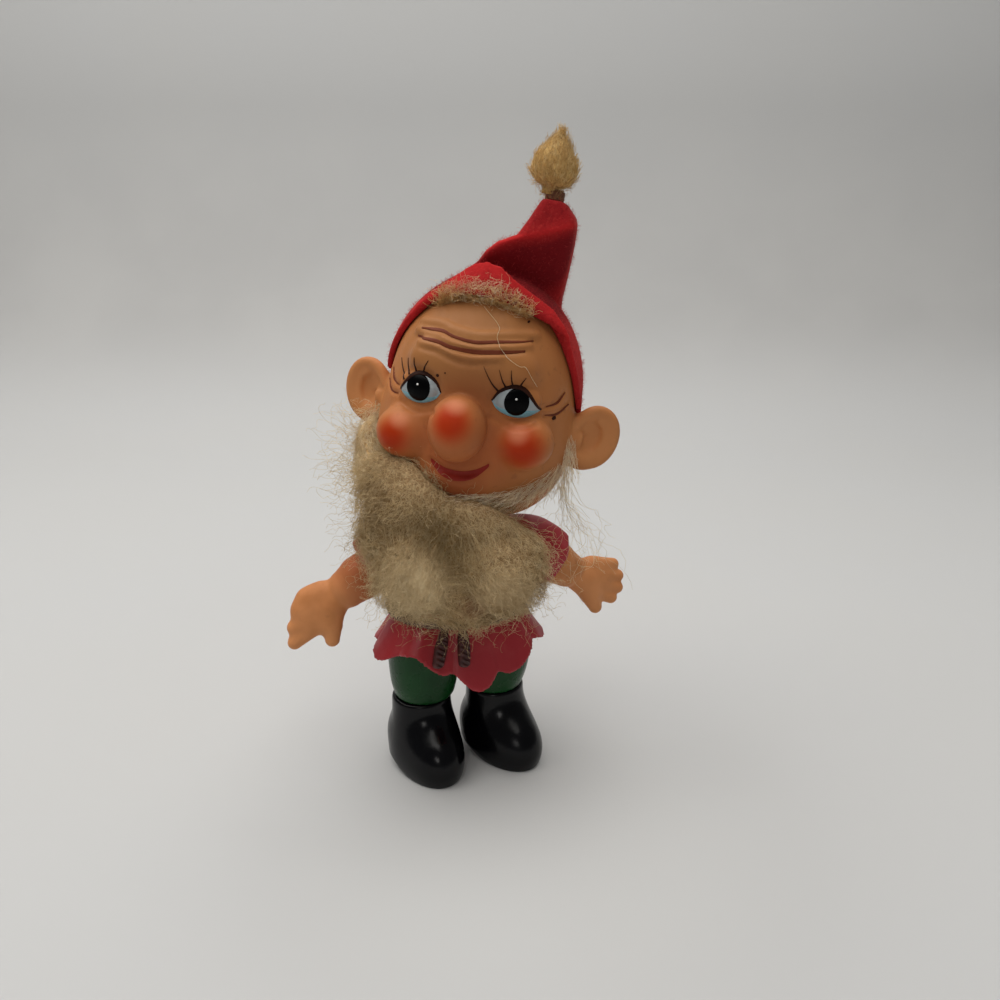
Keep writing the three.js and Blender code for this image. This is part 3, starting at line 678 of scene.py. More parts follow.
for line in FURROWS:
    bulge = smooth_line(line, FURROW_POINTS) + BULGE_ABOVE
    head_clay.add(rod(in_front(bulge, -BULGE_SUNK), BULGE_RADIUS), 1.0)
shallow_ends = np.sin(np.linspace(0.15, math.pi - 0.15, FURROW_POINTS)) ** 0.5
for line in FURROWS:
    press_line(line, FURROW_POINTS, lift=0.25, radius=FURROW_RADIUS * shallow_ends, blend=0.6)
lip_line = in_front(smooth_line(LOWER_LIP, len(LIP_RADII)), -LIP_SUNK)
head_clay.add(rod(lip_line, LIP_RADII), 1.2)
press_line(SMILE, count=30, lift=0.2, radius=SMILE_RADIUS, blend=0.8)
print("pressed in", len(FURROWS), "furrows and a smile", SMILE[-1][0] - SMILE[0][0], "mm wide")

# %% Ears
EAR_PLACE = (29.9, 1.5, -6.9)
EAR_RADII = (6.5, 2.6, 8.25)
EAR_SWEEP = 0.3
EAR_LEAN = 0.12
EAR_CUP = ((-0.6, -2.9, 0.2), (4.6, 2.7, 5.8))
EAR_FLAP = ((-3.6, -1.3, -1.2), (1.3, 1.3, 1.9))
EAR_LOBE = ((-1.6, -0.5, -6.6), (3.0, 2.2, 2.5))
EAR_HOLE = ((-1.7, -1.4, -0.9), (1.0, 1.6, 1.1))
RIM_POINTS = 24
RIM_RADII = np.interp(np.arange(RIM_POINTS), (0, 12, 23), (1.3, 1.45, 1.1))
INNER_RIM_RADIUS = 0.75


def ear_frame(side):
    """The frame of one ear, mirrored for the left."""
    right = (
        Matrix.Translation(EAR_PLACE)
        @ Matrix.Rotation(EAR_SWEEP, 4, "Z")
        @ Matrix.Rotation(EAR_LEAN, 4, "Y")
    )
    flip = Matrix.Scale(-1, 4, (1, 0, 0)) if side < 0 else Matrix.Identity(4)
    return flip @ right @ flip


def arc(across, up, start, end, depth, shift=0.0, count=RIM_POINTS):
    """Points on an oval in the ear's plane, between two angles in degrees."""
    angles = np.radians(np.linspace(start, end, count))
    return np.stack([across * np.cos(angles) + shift, np.full(count, depth), up * np.sin(angles)], -1)


for side in (-1, 1):
    ear = ear_frame(side)
    across = np.array((side, 1, 1))

    def ear_ball(centre, radii):
        return ball(ear @ Vector(across * centre), radii, ear)

    def ear_rod(path, radii):
        return rod(placed(ear, path * across), radii)

    head_clay.add(ear_ball((0, 0, 0), EAR_RADII), 2.2)
    head_clay.cut(ear_ball(*EAR_CUP), 0.8)
    head_clay.add(ear_rod(arc(5.5, 7.2, -95, 160, -0.9), RIM_RADII), 0.7)
    head_clay.add(ear_rod(arc(3.1, 4.5, -75, 80, -0.9, -0.3, 16), INNER_RIM_RADIUS), 0.9)
    head_clay.add(ear_ball(*EAR_FLAP), 1.2)
    head_clay.add(ear_ball(*EAR_LOBE), 1.6)
    head_clay.cut(ear_ball(*EAR_HOLE), 0.8)
print("ears", round(2 * EAR_RADII[2], 1), "mm tall")

# %% Hollow for the spring and its disc
VINYL_WALL = 2.0
NECK_OPENING = 10.5
DISC_TOP = -15.8
SHARPER = 20


def below_disc(x, y, z):
    """The inside of the skull, up to the disc."""
    return np.maximum(skull_level(-VINYL_WALL)(x, y, z) * SHARPER, z - DISC_TOP)


def neck_well(x, y, z):
    """A round well for the spring, up to the disc."""
    return np.maximum(np.hypot(x, y) - NECK_OPENING, z - DISC_TOP)


head_clay.cut(head_clay.everywhere(below_disc))
head_clay.cut(head_clay.everywhere(neck_well), 0.8)
head_points, head_faces = net(head_clay)
print("head hollowed, with a neck opening of", 2 * NECK_OPENING, "mm")

# %% Skin paint
SKIN = (188, 122, 72)
SKIN_DEEP = (162, 94, 50)
SKIN_GRIME = (128, 84, 56)


def skin_paint(name):
    """Sprayed satin skin paint: cloudy, a little grubby, with a fine orange-peel surface."""
    finish = Finish(name, SKIN, 0.42, Specular_IOR_Level=0.11)
    finish.coat(finish.noise(70, 0.35, 0.75), SKIN_DEEP, 0.35)
    finish.coat(finish.noise(420, 0.62, 0.72, 2.0), SKIN_GRIME, 0.25)
    finish.rough(finish.noise(260, 0.3, 0.7), 0.36, 0.52)
    finish.bump(1500, 0.00004)
    return finish


head_paint = skin_paint("head_skin_paint")
print("sprayed:", head_paint.material.name)

# %% Tints on the face
# Painted shade: the first tint darkens the skin between the eyes, the third the chin under the lip and the
# fourth the brow under the cap's brim. The second is the redder airbrushed tone of the lower face, and it
# also darkens that part as painted shade.
# Each tint has its place, the radius where it is full, the radius where it ends, a colour and a share.
PAINTED_SHADES = [
    ((0.5, -22.0, 5.0), 2, 11, (136, 48, 21), 0.82),
    ((0.0, -23.0, -9.0), 5, 20, (168, 80, 46), 0.55),
    ((0.0, -23.0, -19.5), 2, 9, (140, 66, 40), 0.6),
    ((-3.0, -20.0, 16.0), 8, 26, (160, 110, 66), 0.75),
]
BLUSH = (176, 44, 6)
BLUSH_SOFT = (192, 92, 48)
BLUSH_SPREAD = 1.35
BLUSHES = {
    "nose": ((-1.2, -33.4, -2.2), 1.5, 5.9),
    "left cheek": ((-16.4, -25.0, -9.6), 1.2, 6.0),
    "right cheek": ((14.5, -25.0, -7.8), 1.5, 6.8),
}
# Painted highlights: lighter skin on the tops of the cheeks and of the nose, where the light falls.
PAINTED_HIGHLIGHT = (220, 142, 104)
HIGHLIGHT_SPOTS = [(13.0, -25.0, -4.4), (-15.0, -25.0, -4.9), (-0.6, -32.0, 2.0)]
# Painted light: the ears are lighter where they catch the light.
EAR_PAINTED_LIGHT = (212, 146, 94)
EAR_SPOT = (30.0, -1.0, -6.5)

for shade in PAINTED_SHADES:
    tint(head_paint, face_frame, *shade)
for spot, inner, outer in BLUSHES.values():
    tint(head_paint, face_frame, spot, inner, outer * BLUSH_SPREAD, BLUSH_SOFT, 0.75)
    tint(head_paint, face_frame, spot, inner, outer, BLUSH, 0.9)
for spot in HIGHLIGHT_SPOTS:
    tint(head_paint, face_frame, spot, 0.5, 3.6, PAINTED_HIGHLIGHT, 0.55)
for side in (-1, 1):
    tint(head_paint, head_frame, Vector(EAR_SPOT) * Vector((side, 1, 1)), 5, 10, EAR_PAINTED_LIGHT, 0.7)
head = piece("head", placed(head_frame, head_points), head_faces, head_paint)
stand_for(head, "head", "skin", "head_shell")

# %% [markdown]
# ## The painted face
# The eyes, lashes, wrinkles and lips are brushed on by hand over the skin paint. They could be an image
# wrapped on the head. Here each brush mark is a very thin film of paint that lies on the moulding, so
# its edge stays sharp from close by: two edge lines are drawn on the face from in front, the patch
# between them is dropped onto the head, and it is closed underneath.

# %% Brush marks
PAINT_SUNK = 0.12
IN_FRONT = -60
WITHIN_FACE = -20

head_in_face = placed(face_frame.inverted(), placed(head_frame, head_points))
head_tree = BVHTree.FromPolygons(head_in_face.tolist(), head_faces.tolist())


class BrushWork:
    """All the marks made with one paint, gathered into one piece."""

    def __init__(self, name, finish, film):
        self.name, self.finish, self.film = name, finish, film
        self.points, self.faces = [], []

    def fill(self, lower, upper, rows=5):
        """Paints between two lines of (across, up) points, both listed the same way."""
        lower, upper = np.asarray(lower, float), np.asarray(upper, float)
        shares = np.linspace(0, 1, rows)[:, None, None]
        spots = (lower[None] * (1 - shares) + upper[None] * shares).reshape(-1, 2)
        top, under = [], []
        for across, up in spots:
            place, normal = head_tree.ray_cast(Vector((across, IN_FRONT, up)), Vector((0, 1, 0)))[:2]
            if place is None:
                place, normal = head_tree.find_nearest(Vector((across, WITHIN_FACE, up)))[:2]
            top.append(place + normal * self.film)
            under.append(place - normal * PAINT_SUNK)
        self.close(len(lower), rows)
        self.points += top + under

    def close(self, count, rows):
        """The faces of a patch of rows by count points: its top, its underside and the rim between."""
        start, size = len(self.points), rows * count
        for row in range(rows - 1):
            for i in range(count - 1):
                a = start + row * count + i
                self.faces.append((a, a + 1, a + count + 1, a + count))
                self.faces.append((a + size, a + size + count, a + size + count + 1, a + size + 1))
        rim = list(range(count)) + [row * count + count - 1 for row in range(1, rows)]
        rim += [size - 1 - i for i in range(1, count)] + [row * count for row in range(rows - 2, 0, -1)]
        for a, b in zip(rim, rim[1:] + rim[:1]):
            self.faces.append((start + b, start + a, start + a + size, start + b + size))

    def stroke(self, line, widths, count=18, rows=4):
        """A brush stroke along a few points, as wide as the widths listed along it."""
        run = smooth_line(line, count)
        ahead = np.gradient(run, axis=0)
        side = np.stack([-ahead[:, 1], ahead[:, 0]], -1) / np.linalg.norm(ahead, axis=1, keepdims=True)
        half = spread(widths, count)[:, None] / 2
        self.fill(run - side * half, run + side * half, rows)

    def dot(self, centre, wide, tall, count=25, rows=13):
        """A filled oval."""
        angles = np.linspace(0, math.pi, count)
        edge = np.stack([-np.cos(angles) * wide / 2, np.sin(angles) * tall / 2], -1)
        self.fill(centre - edge * (-1, 1), centre + edge, rows)

    def done(self):
        """Makes the piece, which rides on the head."""
        points = placed(face_frame, np.array(self.points))
        stand_for(piece(self.name, points, self.faces, self.finish), "head", "skin")


print("brush work:", listed(BrushWork))

# %% Painted eyes
EYE_TOP = [(5.9, 2.2), (7.6, 4.5), (10.6, 5.75), (13.6, 4.7), (16.9, 0.5)]
EYE_LOW = [(5.9, 2.2), (7.4, 0.2), (10.8, -1.25), (14.0, -1.1), (16.9, 0.5)]
EYE_POINTS = 40
BLUE_RISE = (0.12, 0.34)
PUPIL_PLACE = (EYE_ACROSS + 0.05, 2.4)
PUPIL_WIDE = {-1: 6.0, 1: 5.5}
PUPIL_TALL = 6.3
# The glint on each pupil is a painted reflection of the lamp: a small white dot of paint.
GLINT_OFF = (-0.15, 0.75)
GLINT_WIDE = 0.5
LID_WIDTHS = [0.3, 0.75, 0.95, 0.75, 0.4]
EYE_WHITE = (158, 168, 172)
EYE_BLUE = (118, 172, 186)
EYE_BLACK = (4, 4, 5)
GLINT_WHITE = (236, 236, 232)
LASH_BROWN = (50, 24, 15)


def ordered(lower, upper, side):
    """Swaps the two lines on the mirrored side, so that the paint still faces out."""
    return (lower, upper) if side > 0 else (upper, lower)


eye_white = BrushWork("eye_whites", Finish("eye_white_paint", EYE_WHITE, 0.3), film=0.05)
eye_blue = BrushWork("eye_blue_rims", Finish("eye_blue_paint", EYE_BLUE, 0.3), film=0.08)
pupil_paint = Finish("gloss_black_paint", EYE_BLACK, 0.3, Specular_IOR_Level=0.06)
eye_black = BrushWork("pupils", pupil_paint, film=0.11)
lash_paint = Finish("lash_paint", LASH_BROWN, 0.5, Specular_IOR_Level=0.1)
eye_lines = BrushWork("lashes", lash_paint, film=0.14)
eye_glint = BrushWork("eye_glints", Finish("glint_paint", GLINT_WHITE, 0.2), film=0.16)
for side in (-1, 1):
    lid = across_face(EYE_TOP, side)
    top = smooth_line(lid, EYE_POINTS)
    low = smooth_line(across_face(EYE_LOW, side), EYE_POINTS)
    blue_edge = low + (top - low) * np.linspace(*BLUE_RISE, EYE_POINTS)[:, None]
    pupil = np.array((side * PUPIL_PLACE[0], PUPIL_PLACE[1]))
    eye_white.fill(*ordered(low, top, side), rows=16)
    eye_blue.fill(*ordered(low, blue_edge, side))
    eye_black.dot(pupil, PUPIL_WIDE[side], PUPIL_TALL)
    eye_glint.dot(pupil + GLINT_OFF, GLINT_WIDE, GLINT_WIDE, count=11, rows=5)
    eye_lines.stroke(lid, LID_WIDTHS, count=30)
print("eyes", round(EYE_TOP[-1][0] - EYE_TOP[0][0], 1), "mm wide")

# %% Lashes and specks
LEFT_LASHES = [
    [(-15.6, 3.3), (-17.2, 5.3), (-18.2, 7.2)],
    [(-14.4, 4.7), (-15.3, 6.4), (-15.7, 8.0)],
    [(-12.7, 5.6), (-13.2, 7.2), (-13.4, 8.9)],
    [(-10.9, 5.9), (-10.4, 7.4), (-9.6, 9.0)],
]
RIGHT_LASHES = [
    [(7.2, 4.3), (5.2, 6.8), (3.4, 9.7)],
    [(8.7, 5.2), (7.8, 7.2), (6.9, 9.4)],
    [(10.1, 5.7), (9.8, 7.6), (9.5, 9.6)],
    [(11.6, 5.6), (12.2, 6.9), (12.9, 8.1)],
]
LASH_WIDTHS = [0.44, 0.24, 0.08]
SPECKS = [((-7.0, 6.1), 0.7), ((19.9, -1.9), 0.8), ((-5.2, 7.0), 0.35), ((10.9, 19.6), 0.5)]

for line in LEFT_LASHES + RIGHT_LASHES:
    eye_lines.stroke(line, LASH_WIDTHS, count=10)
for place, wide in SPECKS:
    eye_lines.dot(np.array(place), wide, wide, count=9, rows=5)
print("lashes:", len(LEFT_LASHES + RIGHT_LASHES), "specks of paint:", len(SPECKS))

# %% Wrinkles and lips
WRINKLE_BROWN = (114, 56, 36)
FURROW_WIDTHS = [[0.3, 0.75, 0.6, 0.75, 0.65, 0.25], [0.35, 0.85, 0.8, 1.0, 0.95, 0.5]]
CROW_FOOT_WIDTHS = [0.2, 0.6, 0.25]
LIP_RED = (148, 46, 36)
LIP_POINTS = 40
LIP_TOP = (0, 0.45)
LIP_EDGE = (0, 0.25)
LIP_SAG = (0, -1.5)

wrinkle_paint = Finish("wrinkle_paint", WRINKLE_BROWN, 0.5, Specular_IOR_Level=0.1)
wrinkles = BrushWork("wrinkle_paint", wrinkle_paint, film=0.09)
for line, widths in zip(FURROWS, FURROW_WIDTHS):
    wrinkles.stroke(line, widths, count=60)
for side in (-1, 1):
    for line in CROW_FEET:
        wrinkles.stroke(across_face(line, side), CROW_FOOT_WIDTHS, count=14)
lip_paint = Finish("lip_paint", LIP_RED, 0.4, Specular_IOR_Level=0.12)
lips = BrushWork("lip_paint", lip_paint, film=0.05)
smile = smooth_line(SMILE, LIP_POINTS)
sag = LIP_SAG * np.sin(np.linspace(0, math.pi, LIP_POINTS))[:, None] ** 0.7
lips.fill(smile + sag - LIP_EDGE, smile + LIP_TOP, rows=8)
for work in (eye_white, eye_blue, eye_black, eye_lines, eye_glint, wrinkles, lips):
    work.done()

# %% [markdown]
# ## The coat
# One moulding in red vinyl: a round back, two puffed sleeves and a skirt whose edge is cut into petals.
# Each petal swells between two creases, and the middle one hangs lowest in front. A lathe gives the round
# back but not the petals, so the coat is a level: how far each point is from an outline that is read at
# its height above the hem. The edge is drawn as its height above the floor for every angle round the
# body, where 0 is straight in front.

# %% Outline of the coat
WAIST = 49.0
HEM = 36.0
COAT_TOP = 76.0
COAT_FLATNESS = 0.86
COAT_OUTLINE = [(0, 24.0), (7.15, 20.1), (13, 17.4), (25, 18.6), (36, 13.0), (38, 6.6), (40, 6.4)]
CREASES = [-221, -180, -139, -98, -61, -18, 18.6, 58, 98, 139, 180, 221]
HEM_EDGE = [
    (-200, 36.4), (-180, 38.0), (-160, 36.3), (-139, 38.0), (-118, 36.2), (-98, 37.6), (-84, 36.5),
    (-74, 36.7), (-61, 39.4), (-44, 41.2), (-35, 38.8), (-26, 36.5), (-18, 36.4), (-11, 34.2), (-2, 31.6),
    (9, 32.0), (18.6, 34.8), (27, 34.0), (38, 35.4), (58, 39.0), (75, 37.0), (98, 37.8), (118, 36.2),
    (139, 38.0), (160, 36.3), (180, 38.0), (200, 36.4),
]
coat_outline = smooth_line(COAT_OUTLINE, 80)
hem_edge = smooth_line(HEM_EDGE, 400)
print("hem hangs lowest at", round(hem_edge[:, 1].min(), 1), "mm above the floor")

# %% Petals and walls
PETAL_SWELL = 1.2
PETAL_ROUNDNESS = 0.8
SKIRT_SHARE = 0.95
SKIRT_MOST = 1.2
COAT_WALL = 2.0
CAVITY_TOP = 43.5


def coat_places(x, y, z):
    """Height above the hem and radius, both with the folds of the skirt taken out."""
    turn = np.degrees(np.arctan2(x, -y))
    edge = np.interp(turn, hem_edge[:, 0], hem_edge[:, 1])
    up = np.where(z < WAIST, (z - edge) / (WAIST - edge) * (WAIST - HEM), z - HEM)
    nth = np.clip(np.searchsorted(CREASES, turn.ravel()) - 1, 0, len(CREASES) - 2).reshape(turn.shape)
    start, end = np.array(CREASES)[nth], np.array(CREASES)[nth + 1]
    petal = np.sin(math.pi * (turn - start) / (end - start)) ** PETAL_ROUNDNESS
    skirt = np.clip(1 - up / (SKIRT_SHARE * (WAIST - HEM)), 0, SKIRT_MOST)
    ring = np.hypot(x, y / COAT_FLATNESS) - PETAL_SWELL * skirt * (2 * petal - 1)
    return up, ring


def coat_level(x, y, z):
    """The coat without its sleeves, closed at the hem and at the neck."""
    up, ring = coat_places(x, y, z)
    wall = ring - np.interp(up, coat_outline[:, 0], coat_outline[:, 1])
    return np.maximum(np.maximum(wall, -up), z - COAT_TOP)


def coat_cavity(x, y, z):
    """The hollow of the skirt, one wall's thickness inside."""
    up, ring = coat_places(x, y, z)
    wall = ring - np.interp(up, coat_outline[:, 0], coat_outline[:, 1]) + COAT_WALL
    return np.maximum(wall, z - CAVITY_TOP)


print("petals round the skirt:", sum(-180 <= crease < 180 for crease in CREASES))

# %% Sleeves
SHOULDER = (15.5, 0, 66.67)
ARM_FORWARD = 6.0
ARM_OUT = 53.0
SLEEVE = [(3.0, 4.6), (-1.0, 7.0), (-5.5, 8.7), (-10.0, 9.1), (-14.0, 8.8), (-18.0, 8.2)]
SLEEVE_TOP = 4.5
SLEEVE_FOLDS = 7
FOLD_HEIGHT = 0.22
CUFFS = (9.2, 15.0)
CUFF_DEPTH = 4.0
CUFF_BORE = 7.0
arm_frame = (
    Matrix.Translation(SHOULDER)
    @ Matrix.Rotation(math.radians(ARM_FORWARD), 4, "X")
    @ Matrix.Rotation(-math.radians(ARM_OUT), 4, "Y")
)


def along_arm(x, y, z):
    """Where a point lies in the frame of the arm on its own side, which hangs along -Z."""
    back = np.array(arm_frame.inverted())
    return [back[i, 0] * np.abs(x) + back[i, 1] * y + back[i, 2] * z + back[i, 3] for i in range(3)]


def sleeve_level(x, y, z):
    """Both sleeves, folded near the cuffs and cut off where each cuff ends."""
    across, front, along = along_arm(x, y, z)
    profile = smooth_line(SLEEVE, 40)[::-1]
    near_cuff = np.clip((-along - 7) / 5, 0, 1)
    round_fold = FOLD_HEIGHT * np.cos(SLEEVE_FOLDS * np.arctan2(across, front) + 1.0) * near_cuff
    radius = np.interp(along, profile[:, 0], profile[:, 1]) + round_fold
    end = np.where(x < 0, *CUFFS)
    return np.maximum(np.maximum(np.hypot(across, front) - radius, -along - end), along - SLEEVE_TOP)


def cuff_hollow(x, y, z):
    """The round opening of each cuff, which the arm goes into."""
    across, front, along = along_arm(x, y, z)
    return np.maximum(np.hypot(across, front) - CUFF_BORE, along + np.where(x < 0, *CUFFS) - CUFF_DEPTH)


print("sleeves end", CUFFS, "mm along the arms, left and right")

# %% Moulding the coat
COAT_CELL = 0.5
NECK_BORE = 4.4
NECK_BORE_RUN = [(0, 0, 68.6), (0, 0, 90)]

coat_clay = Clay((-36, -27, 29), (38, 25, 79), COAT_CELL)
coat_clay.add(coat_clay.everywhere(coat_level))
coat_clay.cut(coat_clay.everywhere(coat_cavity))
coat_clay.add(coat_clay.everywhere(sleeve_level), 2.5)
coat_clay.cut(coat_clay.everywhere(cuff_hollow), 0.6)
coat_clay.cut(rod(NECK_BORE_RUN, NECK_BORE))
coat_points, coat_faces = net(coat_clay)
print("coat net:", len(coat_faces), "faces")

# %% Red paint
COAT_RED = (170, 42, 50)
COAT_RED_DEEP = (150, 34, 42)
COAT_RED_WORN = (182, 74, 74)

coat_paint = Finish("coat_red_paint", COAT_RED, 0.42, Specular_IOR_Level=0.4)
coat_paint.coat(coat_paint.noise(55, 0.4, 0.8), COAT_RED_DEEP, 0.5)
coat_paint.coat(coat_paint.noise(160, 0.55, 0.8), COAT_RED_WORN, 0.35)
coat_paint.rough(coat_paint.noise(220, 0.3, 0.7), 0.36, 0.55)
coat_paint.bump(1300, 0.00004)
coat = piece("coat", placed(figure_frame, coat_points), coat_faces, coat_paint)
stand_for(coat, "body", "coat", "tunic")

# %% [markdown]
# ## Arms and hands
# The bare forearms plug into the sleeves. The hands are mittens with the fingers pressed together,
# and the thumbs point down. The right hand is spread a little, the left one points. Both are modelled as
# a right arm that hangs down, and the left one is mirrored.

# %% Arms
ARM_RADII = [(-5.0, 5.8), (-11.9, 6.1), (-14.5, 6.3), (-19.0, 5.4), (-22.8, 4.2)]
WRIST = -22.8
PALM_PLACE = (0, 0, -5.8)
PALM_RADII = (6.0, 3.6, 7.0)
FINGERS = (-1.5, -0.5, 0.5, 1.5)
FINGER_RADIUS = 2.1
FINGER_TAPER = (1.1, 1.0, 0.9)
FINGER_GAP = 2.0
FINGER_SPREAD = 0.1
FINGER_CURL = 0.5
HAND_LENGTH = 17.0
THUMB_PLACE = (0, -1.0, -1.7)
THUMB_LENGTH = 10.6
THUMB_RADII = [3.4, 2.9, 2.0]
ARM_TOP = -8.5
HAND_ROLL = 22.0


def above_arm(x, y, z):
    """All that is above the cut end of the arm."""
    return ARM_TOP - z + 0 * x + 0 * y


def arm_clay(bend, blend, thumb_turn, reaches):
    """Forearm, palm, four fingers and a thumb, in the frame of the right arm."""
    clay = Clay((-19, -12, -44), (12, 10, -6), 0.3)
    clay.add(rod([(0, 0, along) for along, _ in ARM_RADII], [radius for _, radius in ARM_RADII]))
    roll = Matrix.Rotation(math.radians(HAND_ROLL), 4, "Z")
    hand = Matrix.Translation((0, 0, WRIST)) @ Matrix.Rotation(-math.radians(bend), 4, "Y") @ roll
    clay.add(ball(hand @ Vector(PALM_PLACE), PALM_RADII, hand), 2.4)
    for place, reach in zip(FINGERS, reaches):
        fanned = Matrix.Rotation(-place * FINGER_SPREAD, 4, "Y")
        turn = Matrix.Translation((place * FINGER_GAP, 0, 0)) @ fanned
        tip = -HAND_LENGTH * reach + FINGER_RADIUS
        bones = [Vector((0, -FINGER_CURL * math.sin(t * 3), tip * t)) for t in (0.4, 0.7, 1.0)]
        line = [hand @ turn @ bone for bone in bones]
        clay.add(rod(line, [FINGER_RADIUS * taper for taper in FINGER_TAPER]), blend)
    thumb = hand @ Matrix.Translation(THUMB_PLACE) @ Matrix.Rotation(math.radians(thumb_turn), 4, "Y")
    line = [thumb @ Vector((0, 0, -THUMB_LENGTH * t)) for t in (0.2, 0.65, 1.0)]
    clay.add(rod(line, THUMB_RADII), 2.0)
    clay.cut(clay.everywhere(above_arm))
    return net(clay)


print("a hand is", HAND_LENGTH, "mm long")

# %% Both arms in place
HANDS = {
    "right": {"bend": 20.0, "blend": 1.1, "thumb_turn": 53.0, "reaches": (0.92, 1.0, 0.97, 0.84)},
    "left": {"bend": 11.0, "blend": 2.4, "thumb_turn": 63.0, "reaches": (1.06, 0.94, 0.72, 0.54)},
}
PULLED_OUT = {"right": 3.0, "left": -0.7}
ARM_PAINTED_LIGHT = (224, 154, 102)
CUFF_SHADE = (156, 80, 48)

arm_paint = skin_paint("arm_skin_paint")
# Painted light: a lighter coat of skin paint over most of the arms, as the hands are lit from above.
# Painted shade darkens the left arm by its cuff, under the sleeve and the beard.
arm_paint.coat(arm_paint.noise(60, 0.2, 0.6), ARM_PAINTED_LIGHT, 0.75)
left_cuff = (arm_frame @ Vector((0, 0, ARM_TOP))) * Vector((-1, 1, 1))
tint(arm_paint, figure_frame, left_cuff, 7, 15, CUFF_SHADE, 0.8)
for name, hand in HANDS.items():
    points, faces = arm_clay(**hand)
    points = placed(arm_frame, points - (0, 0, PULLED_OUT[name]))
    if name == "left":
        points, faces = points * (-1, 1, 1), faces[:, ::-1]
    made = piece(name + "_arm", placed(figure_frame, points), faces, arm_paint)
    stand_for(made, "body", "skin", "arm_" + name)

# %% [markdown]
# ## Trousers and boots
# The green trousers puff out over the tops of the boots. The boots are black gloss vinyl with plump
# round toes, and they stand flat on the floor with the toes turned to the right. One boot is moulded,
# and its mirror stands on the left.

# %% Trousers
LEG_ACROSS = 10.25
LEG_RADII = [(21.6, 8.2), (22.1, 8.6), (24.0, 9.1), (27.0, 9.6), (32.0, 9.9), (38.0, 9.8), (42.6, 8.8)]
RIGHT_LEG_PUFF = 0.9
PUFF_EASE = 8
PUFF_FOOT = 22
SEAT_RUN = [(-8, 0, 40.5), (8, 0, 40.5)]
SEAT_RADIUS = 4.5
TROUSER_CELL = 0.55
leg_line = smooth_line(LEG_RADII, 60)


def legs_level(x, y, z):
    """Two round legs, with the right one puffed out on its outer side."""
    radius = np.interp(z, leg_line[:, 0], leg_line[:, 1])
    outward, upward = (x - LEG_ACROSS) / PUFF_EASE, (z - PUFF_FOOT) / PUFF_EASE
    puff = RIGHT_LEG_PUFF * np.clip(outward, 0, 1) * np.clip(upward, 0, 1)
    round_leg = np.hypot(np.abs(x) - LEG_ACROSS, y) - radius - puff
    return np.maximum(np.maximum(round_leg, z - LEG_RADII[-1][0]), LEG_RADII[0][0] - z)


trouser_clay = Clay((-23, -12, 19), (23, 12, 45), TROUSER_CELL)
trouser_clay.add(trouser_clay.everywhere(legs_level))
trouser_clay.add(rod(SEAT_RUN, SEAT_RADIUS), 2.0)
trouser_points, trouser_faces = net(trouser_clay)
print("trouser net:", len(trouser_faces), "faces")

# %% Green paint
TROUSER_GREEN = (18, 68, 28)
TROUSER_DEEP = (10, 42, 16)
TROUSER_WORN = (40, 88, 46)

green = Finish("trouser_green_paint", TROUSER_GREEN, 0.25, Specular_IOR_Level=0.22)
green.coat(green.noise(70, 0.35, 0.75), TROUSER_DEEP, 0.6)
green.coat(green.noise(240, 0.6, 0.8), TROUSER_WORN, 0.3)
green.rough(green.noise(180, 0.3, 0.7), 0.22, 0.36)
green.bump(1200, 0.00004)
trousers = piece("trouser_legs", placed(figure_frame, trouser_points), trouser_faces, green)
stand_for(trousers, "body", "trousers", "trousers")

# %% Boots
FOOT_PLACE = (0.1, -4.6, 4.3)
FOOT_RADII = (9.2, 14.0, 11.2)
HEEL_PLACE = (0, 3.0, 8.5)
HEEL_RADII = (8.8, 8.3, 9.0)
SHAFT_RADII = [(8.0, 8.9), (14.0, 8.7), (20.6, 8.4), (21.3, 8.0)]
SHAFT_FOOT = 4.0
INSTEP_BLEND = 5.5
BOOT_CELL = 0.42


def floor_level(x, y, z):
    """All that is below the floor."""
    return 0 * x + 0 * y + z


def shaft_level(x, y, z):
    """The round shaft of the boot, with its radius read at each height."""
    radius = np.interp(z, *np.array(SHAFT_RADII).T)
    return np.maximum(np.maximum(np.hypot(x, y) - radius, z - SHAFT_RADII[-1][0]), SHAFT_FOOT - z)


boot_clay = Clay((-13, -21, -3), (14, 13, 24), BOOT_CELL)
boot_clay.add(ball(FOOT_PLACE, FOOT_RADII))
boot_clay.add(boot_clay.everywhere(shaft_level), INSTEP_BLEND)
boot_clay.add(ball(HEEL_PLACE, HEEL_RADII), 2.0)
boot_clay.cut(boot_clay.everywhere(floor_level))
boot_points, boot_faces = net(boot_clay)
print("boot net:", len(boot_faces), "faces")

# %% Both boots in place
TOES_TURN = {"left": 12.0, "right": 20.0}
BOOT_ACROSS = {"left": -11.2, "right": 10.8}
BOOT_BLACK = (5, 5, 8)
BOOT_SCUFFED = (11, 11, 15)

black = Finish("boot_gloss_black", BOOT_BLACK, 0.2, Specular_IOR_Level=0.22)
black.coat(black.noise(130, 0.5, 0.8), BOOT_SCUFFED, 0.5)
black.rough(black.noise(300, 0.35, 0.75), 0.18, 0.27)
black.bump(900, 0.00003)
for name, side in (("left", -1), ("right", 1)):
    turn = Matrix.Rotation(math.radians(TOES_TURN[name]), 4, "Z")
    stand = figure_frame @ Matrix.Translation((BOOT_ACROSS[name], 0, 0)) @ turn
    made = piece(name + "_boot", placed(stand, boot_points * (side, 1, 1)), boot_faces[:, ::side], black)
    stand_for(made, "body", "boots", "boot_" + name)

# %% [markdown]
# ## Belt
# A cord moulded round the waist, with two tassel ends that lie on the skirt in front. The moulding
# shows the lay of the cord as slanting grooves, and the brown paint is mottled with a darker one. Strands
# wound one by one would leave gaps that a moulding hasn't, so the radius of a single ring waves instead.

